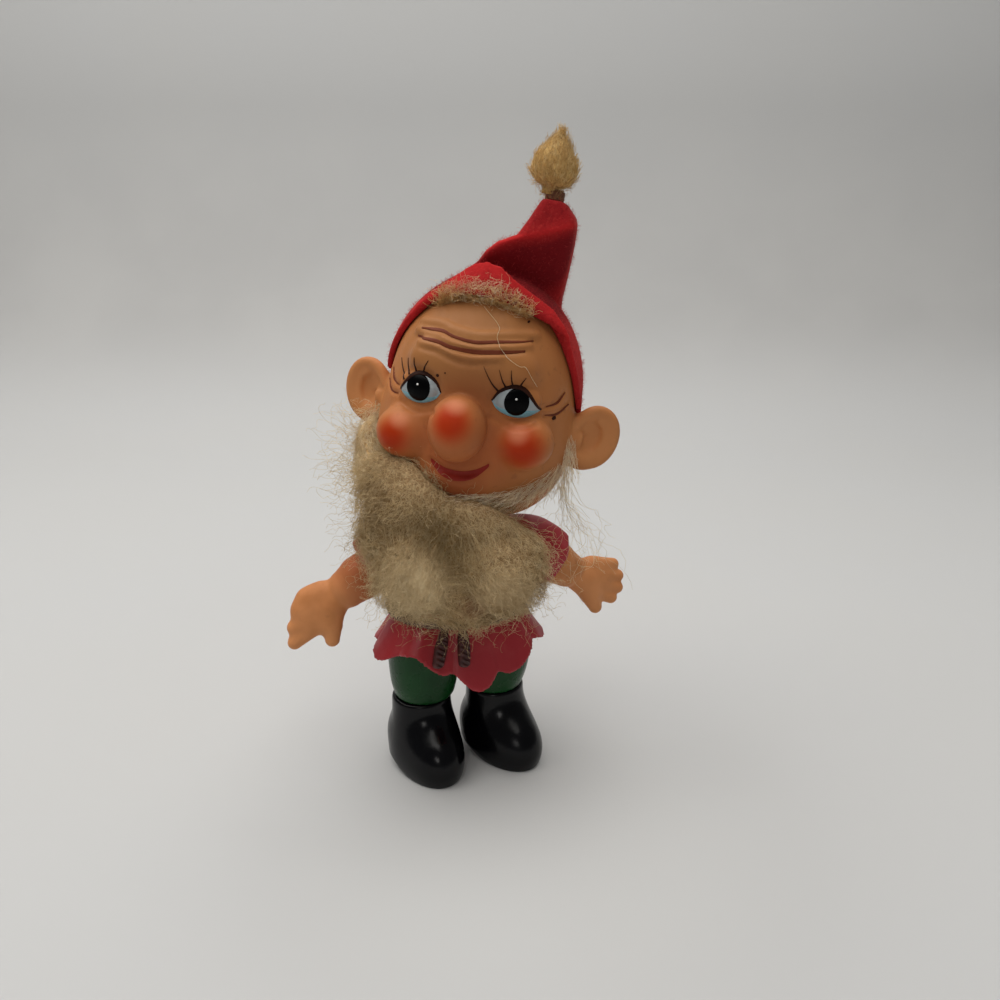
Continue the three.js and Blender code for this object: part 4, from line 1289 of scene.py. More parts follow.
# %% Cord
BELT_RADIUS = 18.75
CORD_RADIUS = 1.5
CORD_TWISTS = 34
CORD_FULLNESS = 0.9
LAY_DEPTH = 0.13
BELT_CELL = 0.34
BELT_BROWN = (84, 46, 39)
BELT_DARK = (30, 17, 15)


def belt_level(x, y, z):
    """A ring of cord, whose radius waves along its slanting lay."""
    turn = np.arctan2(x, -y)
    out = np.hypot(x, y / COAT_FLATNESS) - BELT_RADIUS
    up = z - WAIST
    lay = np.arctan2(up, out) * 2 + CORD_TWISTS * turn
    return np.hypot(out, up) - CORD_RADIUS * (CORD_FULLNESS + LAY_DEPTH * np.cos(lay))


cord_paint = Finish("cord_brown_paint", BELT_BROWN, 0.5)
cord_paint.coat(cord_paint.noise(800, 0.4, 0.62), BELT_DARK, 0.75)
cord_paint.bump(1500, 0.00006)
belt_clay = Clay((-24, -21, 45), (24, 21, 53), BELT_CELL)
belt_clay.add(belt_clay.everywhere(belt_level))
belt_points, belt_faces = net(belt_clay)
belt = piece("belt", placed(figure_frame, belt_points), belt_faces, cord_paint)
stand_for(belt, "body", "cord", "belt_cord")

# %% Tassels
TASSELS = {
    "left": ((-7.0, 47.4), (-8.4, 44.0), (-10.0, 39.6)),
    "right": ((-2.6, 47.4), (-2.7, 44.0), (-3.1, 39.2)),
}
TASSEL_RADII = (0.9, 1.5, 1.75, 1.55)
TASSEL_POINTS = 16
TASSEL_LIFT = 0.55
TASSEL_CELL = 0.26
TASSEL_BROWN = (82, 34, 30)
TASSEL_END = ((0, 0, -2.6), (4, 4, 2.2))
GROOVES = 7
GROOVE_RADIUS = 0.42
GROOVE_OUT = (0, -1.75, 0)
GROOVE_SLANT = ((-2.4, 0.6, 1.5), (0, 0, 0), (2.4, 0.6, -1.5))


def on_skirt(across, up, lift):
    """The point of the skirt's front at that place, lifted off it."""
    depths = np.arange(-30.0, -8.0, 0.1)
    line = np.stack([np.full(len(depths), across), depths, np.full(len(depths), up)], -1)
    return line[(coat_clay.at(line) < 0).argmax()] + (0, -lift, 0)


tassel_paint = Finish("tassel_brown_paint", TASSEL_BROWN, 0.5)
tassel_paint.coat(tassel_paint.noise(700, 0.42, 0.6), BELT_DARK, 0.5)
tassel_paint.bump(1500, 0.00006)
for name, spots in TASSELS.items():
    line = [on_skirt(across, up, TASSEL_LIFT) for across, up in smooth_line(spots, TASSEL_POINTS)]
    clay = Clay(np.min(line, 0) - 4, np.max(line, 0) + 4, TASSEL_CELL)
    clay.add(rod(line, spread(TASSEL_RADII, TASSEL_POINTS)))
    clay.cut(ball(line[-1] + TASSEL_END[0], TASSEL_END[1]), 0.2)
    for nth in range(GROOVES):
        middle = line[2 + 2 * nth] + GROOVE_OUT
        clay.cut(rod([middle + np.array(step) for step in GROOVE_SLANT], GROOVE_RADIUS), 0.2)
    points, faces = net(clay)
    made = piece(name + "_tassel", placed(figure_frame, points), faces, tassel_paint)
    stand_for(made, "body", "cord", "belt_tassel_" + name)

# %% [markdown]
# ## The felt cap
# A cap of thick red felt, drawn over the back of the head and cut on a slant from the brow to the nape.
# Its brim runs forward over the temples. Its peak has slumped: the felt stands up in a flap over the
# brow, tucks in behind it, and folds over in a ridge below the tip. Letting cloth fall would give other
# folds than these, so the outside is shaped first, the same shape one felt's thickness smaller is taken
# out of it, and the part below the brim is cut away.

# %% Peak of the cap
RIDGE = [(-18, 27.0), (-9, 31.3), (-3, 35.2), (2.6, 37.8), (9, 40.1), (15, 42.8), (22, 45.5)]
RIDGE_FRONT = -7.0
TUCK_SLOPE = 0.5
TIP_SLOPE = 0.2
PEAK_LEFT = [
    (16, -17), (22, -15.2), (27, -10.2), (30.7, -6.2), (33.5, -4.6), (36, -2.2), (38.5, 2.2), (42, 4.0),
    (46.8, 6.1), (49, 6.4),
]
PEAK_RIGHT = [
    (16, 15.5), (25, 14.7), (30.5, 15.1), (38.5, 15.4), (42.9, 15.3), (44.5, 14.7), (47.8, 11.4),
    (49, 10.6),
]
PEAK_BACK = [(16, 15), (28, 12), (38, 8), (45, 4), (49, 2.6)]
CAP_TOP = 47.4


def drawn(at, line):
    """The height of a line of points at a place along it."""
    return np.interp(at, *np.array(line).T)


def rounded_most(first, second, blend):
    """The larger of two distances, rounded where they meet."""
    return -soft_least(-first, -second, blend)


def peak_level(x, y, z):
    """The slumped peak: its front, back and two sides, rounded together."""
    up = z - drawn(x, RIDGE)
    front = RIDGE_FRONT + np.where(up < 0, -TUCK_SLOPE * up, TIP_SLOPE * up)
    sides = rounded_most(drawn(z, PEAK_LEFT) - x, x - drawn(z, PEAK_RIGHT), 0.5)
    depth = rounded_most(front - y, y - drawn(z, PEAK_BACK), 0.5)
    return rounded_most(rounded_most(sides, depth, 2.6), z - CAP_TOP, 1.0)


print("the peak rises", round(CAP_TOP - CROWN_RISE, 1), "mm above the crown")

# %% Flap and brim
FLAP = [
    (-30, 4), (-19, 16.0), (-15.3, 21.6), (-10, 26.8), (-5.9, 30.4), (-2.8, 31.5), (0.8, 30.9), (4.5, 28.6),
    (8.4, 26.6), (14.6, 23.8), (18, 20.6), (24, 12), (30, 4),
]
FLAP_FRONT = -10.5
FLAP_FACE_SLOPE = 1.25
FLAP_BACK_SLOPE = 1.7
BRIM = [
    (-40, 36.0), (-22, 22.0), (-12, 12.0), (-6, 5.0), (-1, 0.0), (4, -5.0), (9, -7.8), (15, -9.8),
    (19, -11.3), (22, -13.2), (24, -15.6), (27, -21.0),
]
brim_line = smooth_line(BRIM, 80)


def flap_level(x, y, z):
    """All that is below the flap, which falls away to its front and back."""
    off = y - FLAP_FRONT
    top = drawn(x, FLAP) - np.where(off < 0, -FLAP_FACE_SLOPE * off, FLAP_BACK_SLOPE * off)
    return z - top


def below_brim(x, y, z):
    """All that is in front of the line of the brim."""
    return y - drawn(z, brim_line) + 0 * x


print("the flap rises to", max(up for _, up in FLAP), "mm over the brow")

# %% Moulding the cap
FELT = 1.5
CAP_CLEAR = 0.3
EAR_CLEAR = 1.2
CAP_BLOCK = ((-30, -24, -22), (30, 31, 52))
CAP_CELL = 0.48

cap_form = Clay(*CAP_BLOCK, CAP_CELL)
cap_form.add(cap_form.everywhere(skull_level(CAP_CLEAR + FELT)))
cap_form.add(cap_form.everywhere(flap_level), 1.6)
cap_form.add(cap_form.everywhere(peak_level), 0.9)
cap_clay = Clay(*CAP_BLOCK, CAP_CELL)
cap_clay.field = np.maximum(cap_form.field, -(cap_form.field + FELT))
cap_clay.cut(cap_clay.everywhere(skull_level(CAP_CLEAR)))
cap_clay.cut(cap_clay.everywhere(below_brim), 0.7)
for side in (-1, 1):
    ear = ear_frame(side)
    cap_clay.cut(ball(ear.translation, np.array(EAR_RADII) + EAR_CLEAR, ear), 0.8)
cap_points, cap_faces = net(cap_clay)
print("cap net:", len(cap_faces), "faces")

# %% Felt
FELT_RED = (172, 34, 36)
FELT_DEEP = (150, 26, 30)
FELT_FIBRE = (198, 58, 54)
FELT_PIT = (126, 18, 24)
FELT_PAINTED_SHADE = (104, 12, 22)
FELT_PAINTED_LIGHT = (208, 40, 42)
FELT_SHEEN = (214, 92, 84)

felt = Finish("red_felt", FELT_RED, 0.95, Specular_IOR_Level=0.15, Sheen_Weight=0.25, Sheen_Roughness=0.5)
felt.shader.inputs["Sheen Tint"].default_value = rgb(*FELT_SHEEN)
felt.coat(felt.noise(90, 0.35, 0.75), FELT_DEEP, 0.6)
felt.coat(felt.noise(1400, 0.5, 0.7, 3.0), FELT_FIBRE, 0.5)
felt.coat(felt.noise(900, 0.55, 0.72, 3.0), FELT_PIT, 0.5)
# Painted shade in the tuck and on the tip, and painted light along the folds.
felt.coat(felt.marked("tucked"), FELT_PAINTED_SHADE, 0.8)
felt.coat(felt.marked("folded"), FELT_PAINTED_LIGHT, 0.6)
felt.bump(1100, 0.00022, 5.0)
felt.bump(3200, 0.0001)
cap = piece("cap", placed(head_frame, cap_points), cap_faces, felt)
stand_for(cap, "head", "felt", "felt_hat")

# %% [markdown]
# ### Shade and light in the felt
# In the tuck behind the flap, and less so on the tip above the ridge, the felt gets painted shade, and
# along the folds it gets painted light, brighter than soft light alone would make it. Both follow the
# folds, so each is worked out for every point of the cap and stored there as a mask, which the felt
# takes up as a coat.

# %% Shade in the tuck and light on the folds
TUCK_SHADE = 2.5
TUCK_STARTS = 0.2
BEHIND_FLAP = 1.5
TIP_SHADE = 0.45
TIP_STARTS = 1
PEAK_FOOT = 19.0
PEAK_EASE = 4
FRONT_HALF = 2.0
FRONT_EASE = 3.0
FOLD_LIGHT = 1.1
FLAP_LIGHT = 2
FLAP_LIGHT_DEPTH = 4


def as_share(value):
    """A value kept between 0 and 1."""
    return np.clip(value, 0, 1)


def mark(made, attribute, shares):
    """Stores a mask on the points of a piece for its finish to take up."""
    data = made.data.attributes.new(attribute, "FLOAT", "POINT")
    data.data.foreach_set("value", np.ascontiguousarray(as_share(shares), np.float32))


across, back, up = cap_points.T
off_ridge = up - drawn(across, RIDGE)
off_flap = flap_level(across, back, up)
in_front_half = as_share((FRONT_HALF - back) / FRONT_EASE)
on_peak = as_share((up - PEAK_FOOT) / PEAK_EASE)
in_tuck = as_share(off_flap / BEHIND_FLAP) * as_share(-off_ridge / TUCK_SHADE - TUCK_STARTS)
at_tip = TIP_SHADE * as_share((off_ridge - TIP_STARTS) / TUCK_SHADE)
mark(cap, "tucked", on_peak * in_front_half * np.maximum(in_tuck, at_tip))
on_flap = as_share(1 - np.abs(off_flap) / FLAP_LIGHT)
on_flap = on_flap * as_share(1 - np.abs(back - FLAP_FRONT) / FLAP_LIGHT_DEPTH)
on_ridge = as_share(1 - np.abs(off_ridge) / FOLD_LIGHT) * in_front_half
mark(cap, "folded", np.maximum(on_ridge, on_flap * (off_ridge < 0)))
print("points in the tuck:", int((in_tuck * on_peak > 0).sum()), "on the ridge:", int((on_ridge > 0).sum()))

# %% [markdown]
# ### The cloth of the cap
# Such a cap is cut from a flat blank of felt and sewn up. The area of the modelled cap's felt in one
# layer is printed here.

# %% Cloth in the cap
cap_area = sum(face.area for face in cap.data.polygons) / 2
print("felt in the cap, cm2:", round(cap_area * 1e4, 1))

# %% [markdown]
# ## Neck
# The head nods on a coil spring between a plug in the coat and a disc inside the jaw. The plug and the
# disc are plain turned pieces, so they stay as they were built and only get a finish. The coil is a wire
# wound round a bent middle line, since the head leans over.

# %% Wire
def tube(path, radius, sides=8):
    """Points and faces of a closed round tube along a list of points."""
    path = np.asarray(path, float)
    ahead = np.gradient(path, axis=0)
    ahead /= np.linalg.norm(ahead, axis=1, keepdims=True)
    side = np.cross(ahead, (0.1, 0.2, 1.0))
    side /= np.linalg.norm(side, axis=1, keepdims=True)
    other = np.cross(ahead, side)
    angles = np.linspace(0, 2 * math.pi, sides, endpoint=False)[:, None, None]
    rings = path + radius * (np.cos(angles) * side + np.sin(angles) * other)
    points = rings.transpose(1, 0, 2).reshape(-1, 3)
    count = len(points)
    faces = []
    for start in range(0, count - sides, sides):
        for j in range(sides):
            k = (j + 1) % sides
            faces.append([start + j, start + k, start + sides + k, start + sides + j])
    for j in range(sides):
        k = (j + 1) % sides
        faces.append([count, k, j])
        faces.append([count + 1, count - sides + j, count - sides + k])
    return np.vstack([points, path[0], path[-1]]), faces


print("faces of a short wire:", len(tube([(0, 0, 0), (1, 0, 0), (2, 0, 0)], 0.4)[1]))

# %% Spring
WIRE_RADIUS = 0.4
COIL_RADIUS = 3.7
COIL_FLARE = 1.0
COIL_TURNS = 5
POINTS_PER_TURN = 26
SPRING_LENGTH = 13.0
SEAT_GAP = 1.3
DISC_SEAT = 13.6
BOW_WEIGHTS = (1, 3, 3, 1)

neck_frame = Matrix.Translation(neck_pivot) @ Matrix.Rotation(math.radians(HEAD_TURN), 4, "Z")
lean = np.array((math.sin(math.radians(HEAD_TILT)), 0, math.cos(math.radians(HEAD_TILT))))
low_end = np.array((0, 0, SEAT_GAP))
high_end = np.array((HEAD_SHIFT, 0, 0)) + lean * (DISC_SEAT - SEAT_GAP)
bow = [low_end, low_end + (0, 0, SPRING_LENGTH / 3), high_end - lean * SPRING_LENGTH / 3, high_end]
share = np.linspace(0, 1, COIL_TURNS * POINTS_PER_TURN)[:, None]
weighted = enumerate(zip(BOW_WEIGHTS, bow))
middle_line = sum(weight * share**i * (1 - share) ** (3 - i) * point for i, (weight, point) in weighted)
along = np.gradient(middle_line, axis=0)
along /= np.linalg.norm(along, axis=1, keepdims=True)
wound = share[:, 0] * COIL_TURNS * 2 * math.pi
sideways = np.stack([along[:, 2], 0 * wound, -along[:, 0]], -1) * np.cos(wound)[:, None]
forwards = np.stack([0 * wound, np.sin(wound), 0 * wound], -1)
coil = middle_line + (COIL_RADIUS + COIL_FLARE * np.abs(2 * share - 1)) * (sideways + forwards)
coil_points, coil_faces = tube(coil, WIRE_RADIUS)
print("wire in the spring, mm:", np.linalg.norm(np.diff(coil, axis=0), axis=1).sum().round())

# %% Steel and plastic
WIRE_STEEL = (122, 120, 116)
WIRE_RUST = (96, 74, 58)
PLASTIC_BLACK = (24, 23, 23)
PLASTIC_DUST = (44, 42, 40)

wire_finish = Finish("spring_wire", WIRE_STEEL, 0.32, Metallic=1.0)
wire_finish.coat(wire_finish.noise(600, 0.5, 0.7), WIRE_RUST, 0.4)
spring = piece("spring_coil", placed(neck_frame, coil_points), coil_faces, wire_finish)
stand_for(spring, "spring", "steel", "neck_spring")
seat_finish = Finish("neck_black_plastic", PLASTIC_BLACK, 0.5)
seat_finish.coat(seat_finish.noise(300, 0.45, 0.7), PLASTIC_DUST, 0.5)
seat_finish.bump(900, 0.00005)
for node in ("neck_plug", "head_disc", "ballast_left", "ballast_right"):
    shown = frame["nodes"][node]
    shown.data.materials.clear()
    shown.data.materials.append(seat_finish.material)

# %% [markdown]
# ## Wool
# The beard, the locks, the fringe and the tuft on the cap are tufts of tan mohair glued on. Each has a
# matted core and a coat of loose strands. The strands are grown with Geometry Nodes: points are scattered
# on the core, a straight strand is set on each one along the lie of the wool, noise crimps it, and it is
# pulled back towards the surface it grows on.

# %% Inputs of the strand tree
STRAND_SIDES = 3
BROAD_WAVES = 110.0
OWN_PLACE = 0.02
BEND_EASE = 0.6
STRAND_INPUTS = {
    "Density": ("Float", 1e6),
    "Length": ("Float", 0.005),
    "Lift": ("Float", 0.3),
    "Stray": ("Float", 0.4),
    "Crimp": ("Float", 0.001),
    "Crimp Scale": ("Float", 400.0),
    "Wave": ("Float", 0.001),
    "Shortest": ("Float", 0.45),
    "Hug": ("Float", 0.0),
    "Thickness": ("Float", 0.00006),
    "Steps": ("Int", 8),
    "Seed": ("Int", 1),
    "Material": ("Material", None),
}


class StrandTree(NodeWork):
    """The node tree that grows strands, with its inputs named."""

    def __init__(self):
        self.tree = bpy.data.node_groups.new("grow_strands", "GeometryNodeTree")
        self.tree.is_modifier = True
        super().__init__(self.tree)
        for way in ("INPUT", "OUTPUT"):
            self.tree.interface.new_socket("Geometry", in_out=way, socket_type="NodeSocketGeometry")
        for name, (kind, value) in STRAND_INPUTS.items():
            socket = self.tree.interface.new_socket(name, in_out="INPUT", socket_type="NodeSocket" + kind)
            if value is not None:
                socket.default_value = value

    def vector(self, operation, first, second):
        """Adds or subtracts two vectors, or scales one by a number."""
        made = self.add("ShaderNodeVectorMath", {"operation": operation})
        self.put(first, made.inputs[0])
        self.put(second, made.inputs["Scale" if operation == "SCALE" else 1])
        return made.outputs["Vector"]

    def random(self, low, high, **inputs):
        """A random vector or number between two others, by the kind of those two."""
        kind = "FLOAT_VECTOR" if isinstance(high, tuple) else "FLOAT"
        made = self.add("FunctionNodeRandomValue", {"data_type": kind}, Min=low, Max=high, **inputs)
        return made.outputs[0 if kind == "FLOAT_VECTOR" else 1]

    def swayed(self, place, scale, strength):
        """A noise vector about nought, as strong as asked."""
        noise = self.add("ShaderNodeTexNoise", Vector=place, Scale=scale, Detail=1.0).outputs["Color"]
        return self.vector("SCALE", self.vector("SUBTRACT", noise, (0.5, 0.5, 0.5)), strength)


strands = StrandTree()
print("strand inputs:", list(STRAND_INPUTS))

# %% Scattering and laying the strands
get = strands.add("NodeGroupInput").outputs
scatter = strands.add("GeometryNodeDistributePointsOnFaces", Mesh=get["Geometry"], Density=get["Density"],
                      Seed=get["Seed"])
comb = strands.add("GeometryNodeInputNamedAttribute", {"data_type": "FLOAT_VECTOR"}, Name="comb")
stray = strands.random((-1, -1, -1), (1, 1, 1), Seed=get["Seed"])
lifted = strands.vector("SCALE", scatter.outputs["Normal"], get["Lift"])
lie = strands.vector("ADD", comb.outputs["Attribute"], lifted)
lie = strands.vector("ADD", lie, strands.vector("SCALE", stray, get["Stray"]))
turned = strands.add("FunctionNodeAlignRotationToVector", {"axis": "Z"}, Vector=lie)
straight = strands.add("GeometryNodeCurvePrimitiveLine", Start=(0, 0, 0), End=(0, 0, 1))
straight = strands.add("GeometryNodeResampleCurve", Curve=straight.outputs["Curve"], Count=get["Steps"])
length = strands.math("MULTIPLY", strands.random(get["Shortest"], 1.0, Seed=get["Seed"]), get["Length"])
size = strands.add("ShaderNodeCombineXYZ", X=1.0, Y=1.0, Z=length)
laid = strands.add("GeometryNodeInstanceOnPoints", Points=scatter.outputs["Points"],
                   Instance=straight.outputs["Curve"], Rotation=turned.outputs["Rotation"],
                   Scale=size.outputs["Vector"])
laid = strands.add("GeometryNodeRealizeInstances", Geometry=laid.outputs["Instances"])
print("nodes that scatter and lay:", len(strands.nodes))

# %% Crimping the strands
place = strands.add("GeometryNodeInputPosition").outputs["Position"]
along = strands.add("GeometryNodeSplineParameter").outputs["Factor"]
which = strands.add("GeometryNodeCurveOfPoint").outputs["Curve Index"]
own_place = strands.vector("SCALE", strands.random((0, 0, 0), (1, 1, 1), ID=which), OWN_PLACE)
fine = strands.swayed(strands.vector("ADD", place, own_place), get["Crimp Scale"], get["Crimp"])
broad = strands.swayed(place, BROAD_WAVES, get["Wave"])
bend = strands.vector("SCALE", strands.vector("ADD", fine, broad), strands.math("POWER", along, BEND_EASE))
bent = strands.add("GeometryNodeSetPosition", Geometry=laid.outputs["Geometry"], Offset=bend)
nearest = strands.add("GeometryNodeProximity", {"target_element": "FACES"})
strands.put(get["Geometry"], nearest.inputs[0])
fall = strands.vector("SCALE", strands.vector("SUBTRACT", nearest.outputs["Position"], place), get["Hug"])
hugging = strands.add("GeometryNodeSetPosition", Geometry=bent.outputs["Geometry"], Offset=fall)
print("nodes with the crimp:", len(strands.nodes))

# %% Thickening and painting the strands
ring = strands.add("GeometryNodeCurvePrimitiveCircle", Resolution=STRAND_SIDES, Radius=get["Thickness"])
solid = strands.add("GeometryNodeCurveToMesh", Curve=hugging.outputs["Geometry"],
                    Profile_Curve=ring.outputs["Curve"], Fill_Caps=True)
solid = strands.add("GeometryNodeRealizeInstances", Geometry=solid.outputs["Mesh"])
painted = strands.add("GeometryNodeSetMaterial", Geometry=solid.outputs["Geometry"],
                      Material=get["Material"])
strands.add("NodeGroupOutput", Geometry=painted.outputs["Geometry"])
strand_inputs = {
    item.name: item.identifier for item in strands.tree.interface.items_tree if item.in_out == "INPUT"
}
print("nodes in all:", len(strands.nodes))

# %% Growing strands on a surface
def grow(name, points, faces, comb, finish, **settings):
    """Strands on a surface in millimetres. The comb gives the lie of the wool at each point."""
    mesh = bpy.data.meshes.new(name + "_skin")
    mesh.from_pydata((np.asarray(points, float) * MM).tolist(), [], np.asarray(faces).tolist())
    lie = mesh.attributes.new("comb", "FLOAT_VECTOR", "POINT")
    lie.data.foreach_set("vector", np.asarray(comb, np.float32).ravel())
    bed = bpy.data.objects.new(name + "_bed", mesh)
    bpy.context.scene.collection.objects.link(bed)
    modifier = bed.modifiers.new("strands", "NODES")
    modifier.node_group = strands.tree
    for key, value in settings.items():
        modifier[strand_inputs[key.replace("_", " ")]] = value
    modifier[strand_inputs["Material"]] = finish.material
    made_mesh = bpy.data.meshes.new_from_object(bed.evaluated_get(bpy.context.evaluated_depsgraph_get()))
    bpy.data.objects.remove(bed)
    made_mesh.name = name
    made_mesh.shade_smooth()
    made = bpy.data.objects.new(name, made_mesh)
    bpy.context.scene.collection.objects.link(made)
    print(name, len(made_mesh.polygons), "faces")
    return made


# %% [markdown]
# ### The colour of mohair
# Mohair is not one tan: it is pale where the light catches loose hairs and dark in the shade of the
# matted hollows. The cores get a coat of fine winding lines in both tones, as painted highlight and
# painted shade, and the strands vary from place to place.

# %% Wool finishes
FIBRE_LAYERS = 3
FIBRE_WIDTH = 0.02
FIBRE_STRETCH = (1, 1, 0.6)


def wool_finish(name, colour, light, dark):
    """Matted mohair: winding fibres, with painted highlights on top and painted shade between them."""
    finish = Finish(name, colour, 0.9, Specular_IOR_Level=0.15)
    finish.coat(finish.noise(45, 0.45, 0.65), dark, 0.3)
    for nth in range(FIBRE_LAYERS):
        finish.coat(finish.hairs(480 + 60 * nth, FIBRE_WIDTH, 2.0 * nth, FIBRE_STRETCH), dark, 0.3)
        finish.coat(finish.hairs(520 + 70 * nth, FIBRE_WIDTH, 2.0 * nth + 1, FIBRE_STRETCH), light, 0.5)
    finish.bump(1400, 0.0002, 5.0)
    return finish


def strand_finish(name, colour, light, dark):
    """Single hairs, which differ from one place to the next."""
    finish = Finish(name, colour, 0.7, Specular_IOR_Level=0.3)
    finish.coat(finish.noise(600, 0.45, 0.6, 2.0), light, 0.7)
    finish.coat(finish.noise(140, 0.5, 0.68, 2.0), dark, 0.5)
    return finish


# Each tone has its place, the radius where it is full, the radius where it ends, a colour and a share.
BEARD_LIGHT_AND_SHADE = [
    ((-0.5, -29.0, -30.5), 2.0, 10.0, (120, 96, 56), 0.55),
    ((7.0, -30.0, -36.0), 2.0, 9.0, (124, 102, 62), 0.4),
    ((11.0, -29.0, -47.0), 1.0, 5.0, (150, 92, 68), 0.4),
    ((-4.0, -33.0, -45.0), 4.0, 13.0, (228, 206, 164), 0.75),
    ((19.0, -32.0, -42.0), 4.0, 11.0, (224, 200, 158), 0.65),
]


def lit_and_shaded(finish):
    """Painted shade darkens the beard in the hollows under the chin and between its tufts, and painted
    light makes its two tufts paler.
    """
    for tone in BEARD_LIGHT_AND_SHADE:
        tint(finish, head_frame, *tone)
    return finish


# Each wool has its own colour, a lighter one and a darker one.
core_wool = lit_and_shaded(wool_finish("matted_wool", (168, 138, 98), (216, 190, 146), (104, 78, 48)))
beard_wool = lit_and_shaded(strand_finish("beard_strands", (198, 170, 124), (224, 202, 160), (146, 116, 74)))
jaw_wool = strand_finish("jaw_wool", (242, 220, 182), (246, 234, 208), (214, 182, 142))
lock_wool = wool_finish("lock_wool", (216, 184, 132), (240, 218, 174), (168, 132, 86))
pale_wool = strand_finish("pale_wool", (228, 206, 162), (240, 226, 196), (190, 160, 114))
fringe_wool = strand_finish("fringe_wool", (208, 162, 102), (230, 196, 144), (158, 112, 64))
tuft_wool = wool_finish("tuft_wool", (190, 150, 90), (226, 192, 128), (136, 98, 52))
tuft_hair = strand_finish("tuft_hair", (212, 174, 110), (236, 210, 154), (162, 122, 68))
print("tones in the beard:", len(BEARD_LIGHT_AND_SHADE))

# %% [markdown]
# ### Cores
# A tuft of wool is dense inside. Its core is clay again, pressed clear of the head and of the coat by a
# small gap and made lumpy by a few crossing waves, and the strands then grow on it.

# %% Cores
LUMP_WAVES = [((0.25, 0.1, 0.2), 0.3), ((-0.2, 0.15, 0.33), 1.9), ((0.44, -0.1, -0.28), 4.0)]
NORMAL_REACH = 0.4
COAT_GAP = 5.5
SKIN_GAP = 0.15
head_in_figure = figure_frame.inverted() @ head_frame


def clear_of(clay, other, carry, gap):
    """Presses another block's shape out of this one, grown by a gap."""
    grid = np.stack(np.meshgrid(*clay.axes, indexing="ij"), -1).reshape(-1, 3)
    there = placed(carry, grid)
    high = np.array([axis[-1] for axis in other.axes])
    inside = np.all((there > other.low) & (there < high), 1)
    level = np.full(len(grid), FAR)
    level[inside] = other.at(there[inside])
    clay.field = np.maximum(clay.field, (gap - level).reshape(clay.field.shape))


def matted(clay, lumps):
    """The clay's skin, made lumpy: points, outward normals and faces."""
    points, faces = net(clay)
    reach = np.eye(3) * NORMAL_REACH
    normals = np.stack([clay.at(points + step) - clay.at(points - step) for step in reach], 1)
    normals /= np.maximum(np.linalg.norm(normals, axis=1, keepdims=True), 1e-6)
    wave = sum(np.sin(points @ np.array(turn) + phase) for turn, phase in LUMP_WAVES) / len(LUMP_WAVES)
    return points + normals * (lumps * wave)[:, None], normals, faces


def wool_piece(name, points, faces, finish, *nodes):
    """A matted core in the head's frame, standing for its solids."""
    made = piece(name, placed(head_frame, points), faces, finish)
    return stand_for(made, "head", "wool", *nodes)


def strands_on(name, points, faces, comb, finish, *nodes, **settings):
    """Strands on a surface of the head's frame, combed in that frame."""
    lie = np.broadcast_to(comb, points.shape) @ np.array(head_frame.to_3x3()).T
    made = grow(name, placed(head_frame, points), faces, lie, finish, **settings)
    return stand_for(made, "head", "wool", *nodes)


print("the beard stays", COAT_GAP, "mm off the coat")

# %% [markdown]
# ### The beard
# The beard hangs from the chin in two tufts and runs up the left jaw. Its core is a heap of lumps. Four
# layers of strands hug the core and make its fleece, and fewer long ones stand off it as a halo.

# %% Beard core
# Each lump has its middle, its radii and how softly it joins the others.
BEARD_LUMPS = [
    ((2.0, -23.5, -36.0), (15.0, 6.0, 12.0), 0.0),
    ((-4.0, -25.8, -43.0), (10.5, 7.8, 10.5), 2.0),
    ((15.3, -25.4, -38.0), (9.6, 7.4, 9.4), 2.0),
    ((18.0, -22.8, -31.5), (6.5, 5.0, 5.5), 3.0),
    ((6.5, -24.5, -47.0), (9.0, 6.2, 6.8), 2.0),
    ((-13.5, -20.3, -28.0), (8.2, 7.5, 12.0), 3.0),
    ((-11.5, -20.5, -38.0), (8.0, 7.0, 9.0), 3.0),
    ((-7.5, -24.0, -24.5), (9.0, 5.6, 6.0), 3.0),
    ((5.0, -24.0, -27.0), (11.5, 4.4, 4.4), 3.0),
    ((-13.5, -20.0, -20.5), (7.5, 5.2, 4.5), 3.0),
]
BEARD_CELL = 0.6
BEARD_MATTING = 0.7

beard_clay = Clay((-34, -38, -64), (36, 2, -8), BEARD_CELL)
for centre, radii, blend in BEARD_LUMPS:
    beard_clay.add(ball(centre, radii), blend)
clear_of(beard_clay, head_clay, Matrix.Identity(4), SKIN_GAP)
clear_of(beard_clay, coat_clay, head_in_figure, COAT_GAP)
beard_points, beard_normals, beard_faces = matted(beard_clay, BEARD_MATTING)
wool_piece("beard_core", beard_points, beard_faces, core_wool, "beard")

# %% Beard strands
BEARD_LAYERS = 4
MOST_BACKWARD = 0.35
COMB_LEFT = -0.7
COMB_FAN = 0.045
FAN_FROM = 15
COMB_DOWN = -0.5

beard_front = beard_faces[(beard_normals[beard_faces].mean(1)[:, 1] < MOST_BACKWARD)]
beard_across = beard_points[:, 0]
beard_comb = np.stack([COMB_LEFT + COMB_FAN * (beard_across + FAN_FROM), 0 * beard_across,
                       np.full(len(beard_points), COMB_DOWN)], -1)
for nth in range(BEARD_LAYERS):
    strands_on("beard_hair_%d" % (nth + 1), beard_points, beard_front, beard_comb, beard_wool,
               Seed=11 + nth, Density=4.6e5, Length=0.015, Lift=0.15, Stray=0.5, Crimp=0.0065,
               Crimp_Scale=280.0, Wave=0.0025, Thickness=0.000036, Hug=0.72, Steps=20)
strands_on("beard_flyaways", beard_points, beard_front, 0.5 * beard_comb, beard_wool,
           Seed=21, Density=3.8e5, Length=0.014, Lift=0.5, Stray=0.6, Crimp=0.010, Crimp_Scale=260.0,
           Wave=0.004, Thickness=0.00003, Hug=0.25, Shortest=0.3, Steps=22)

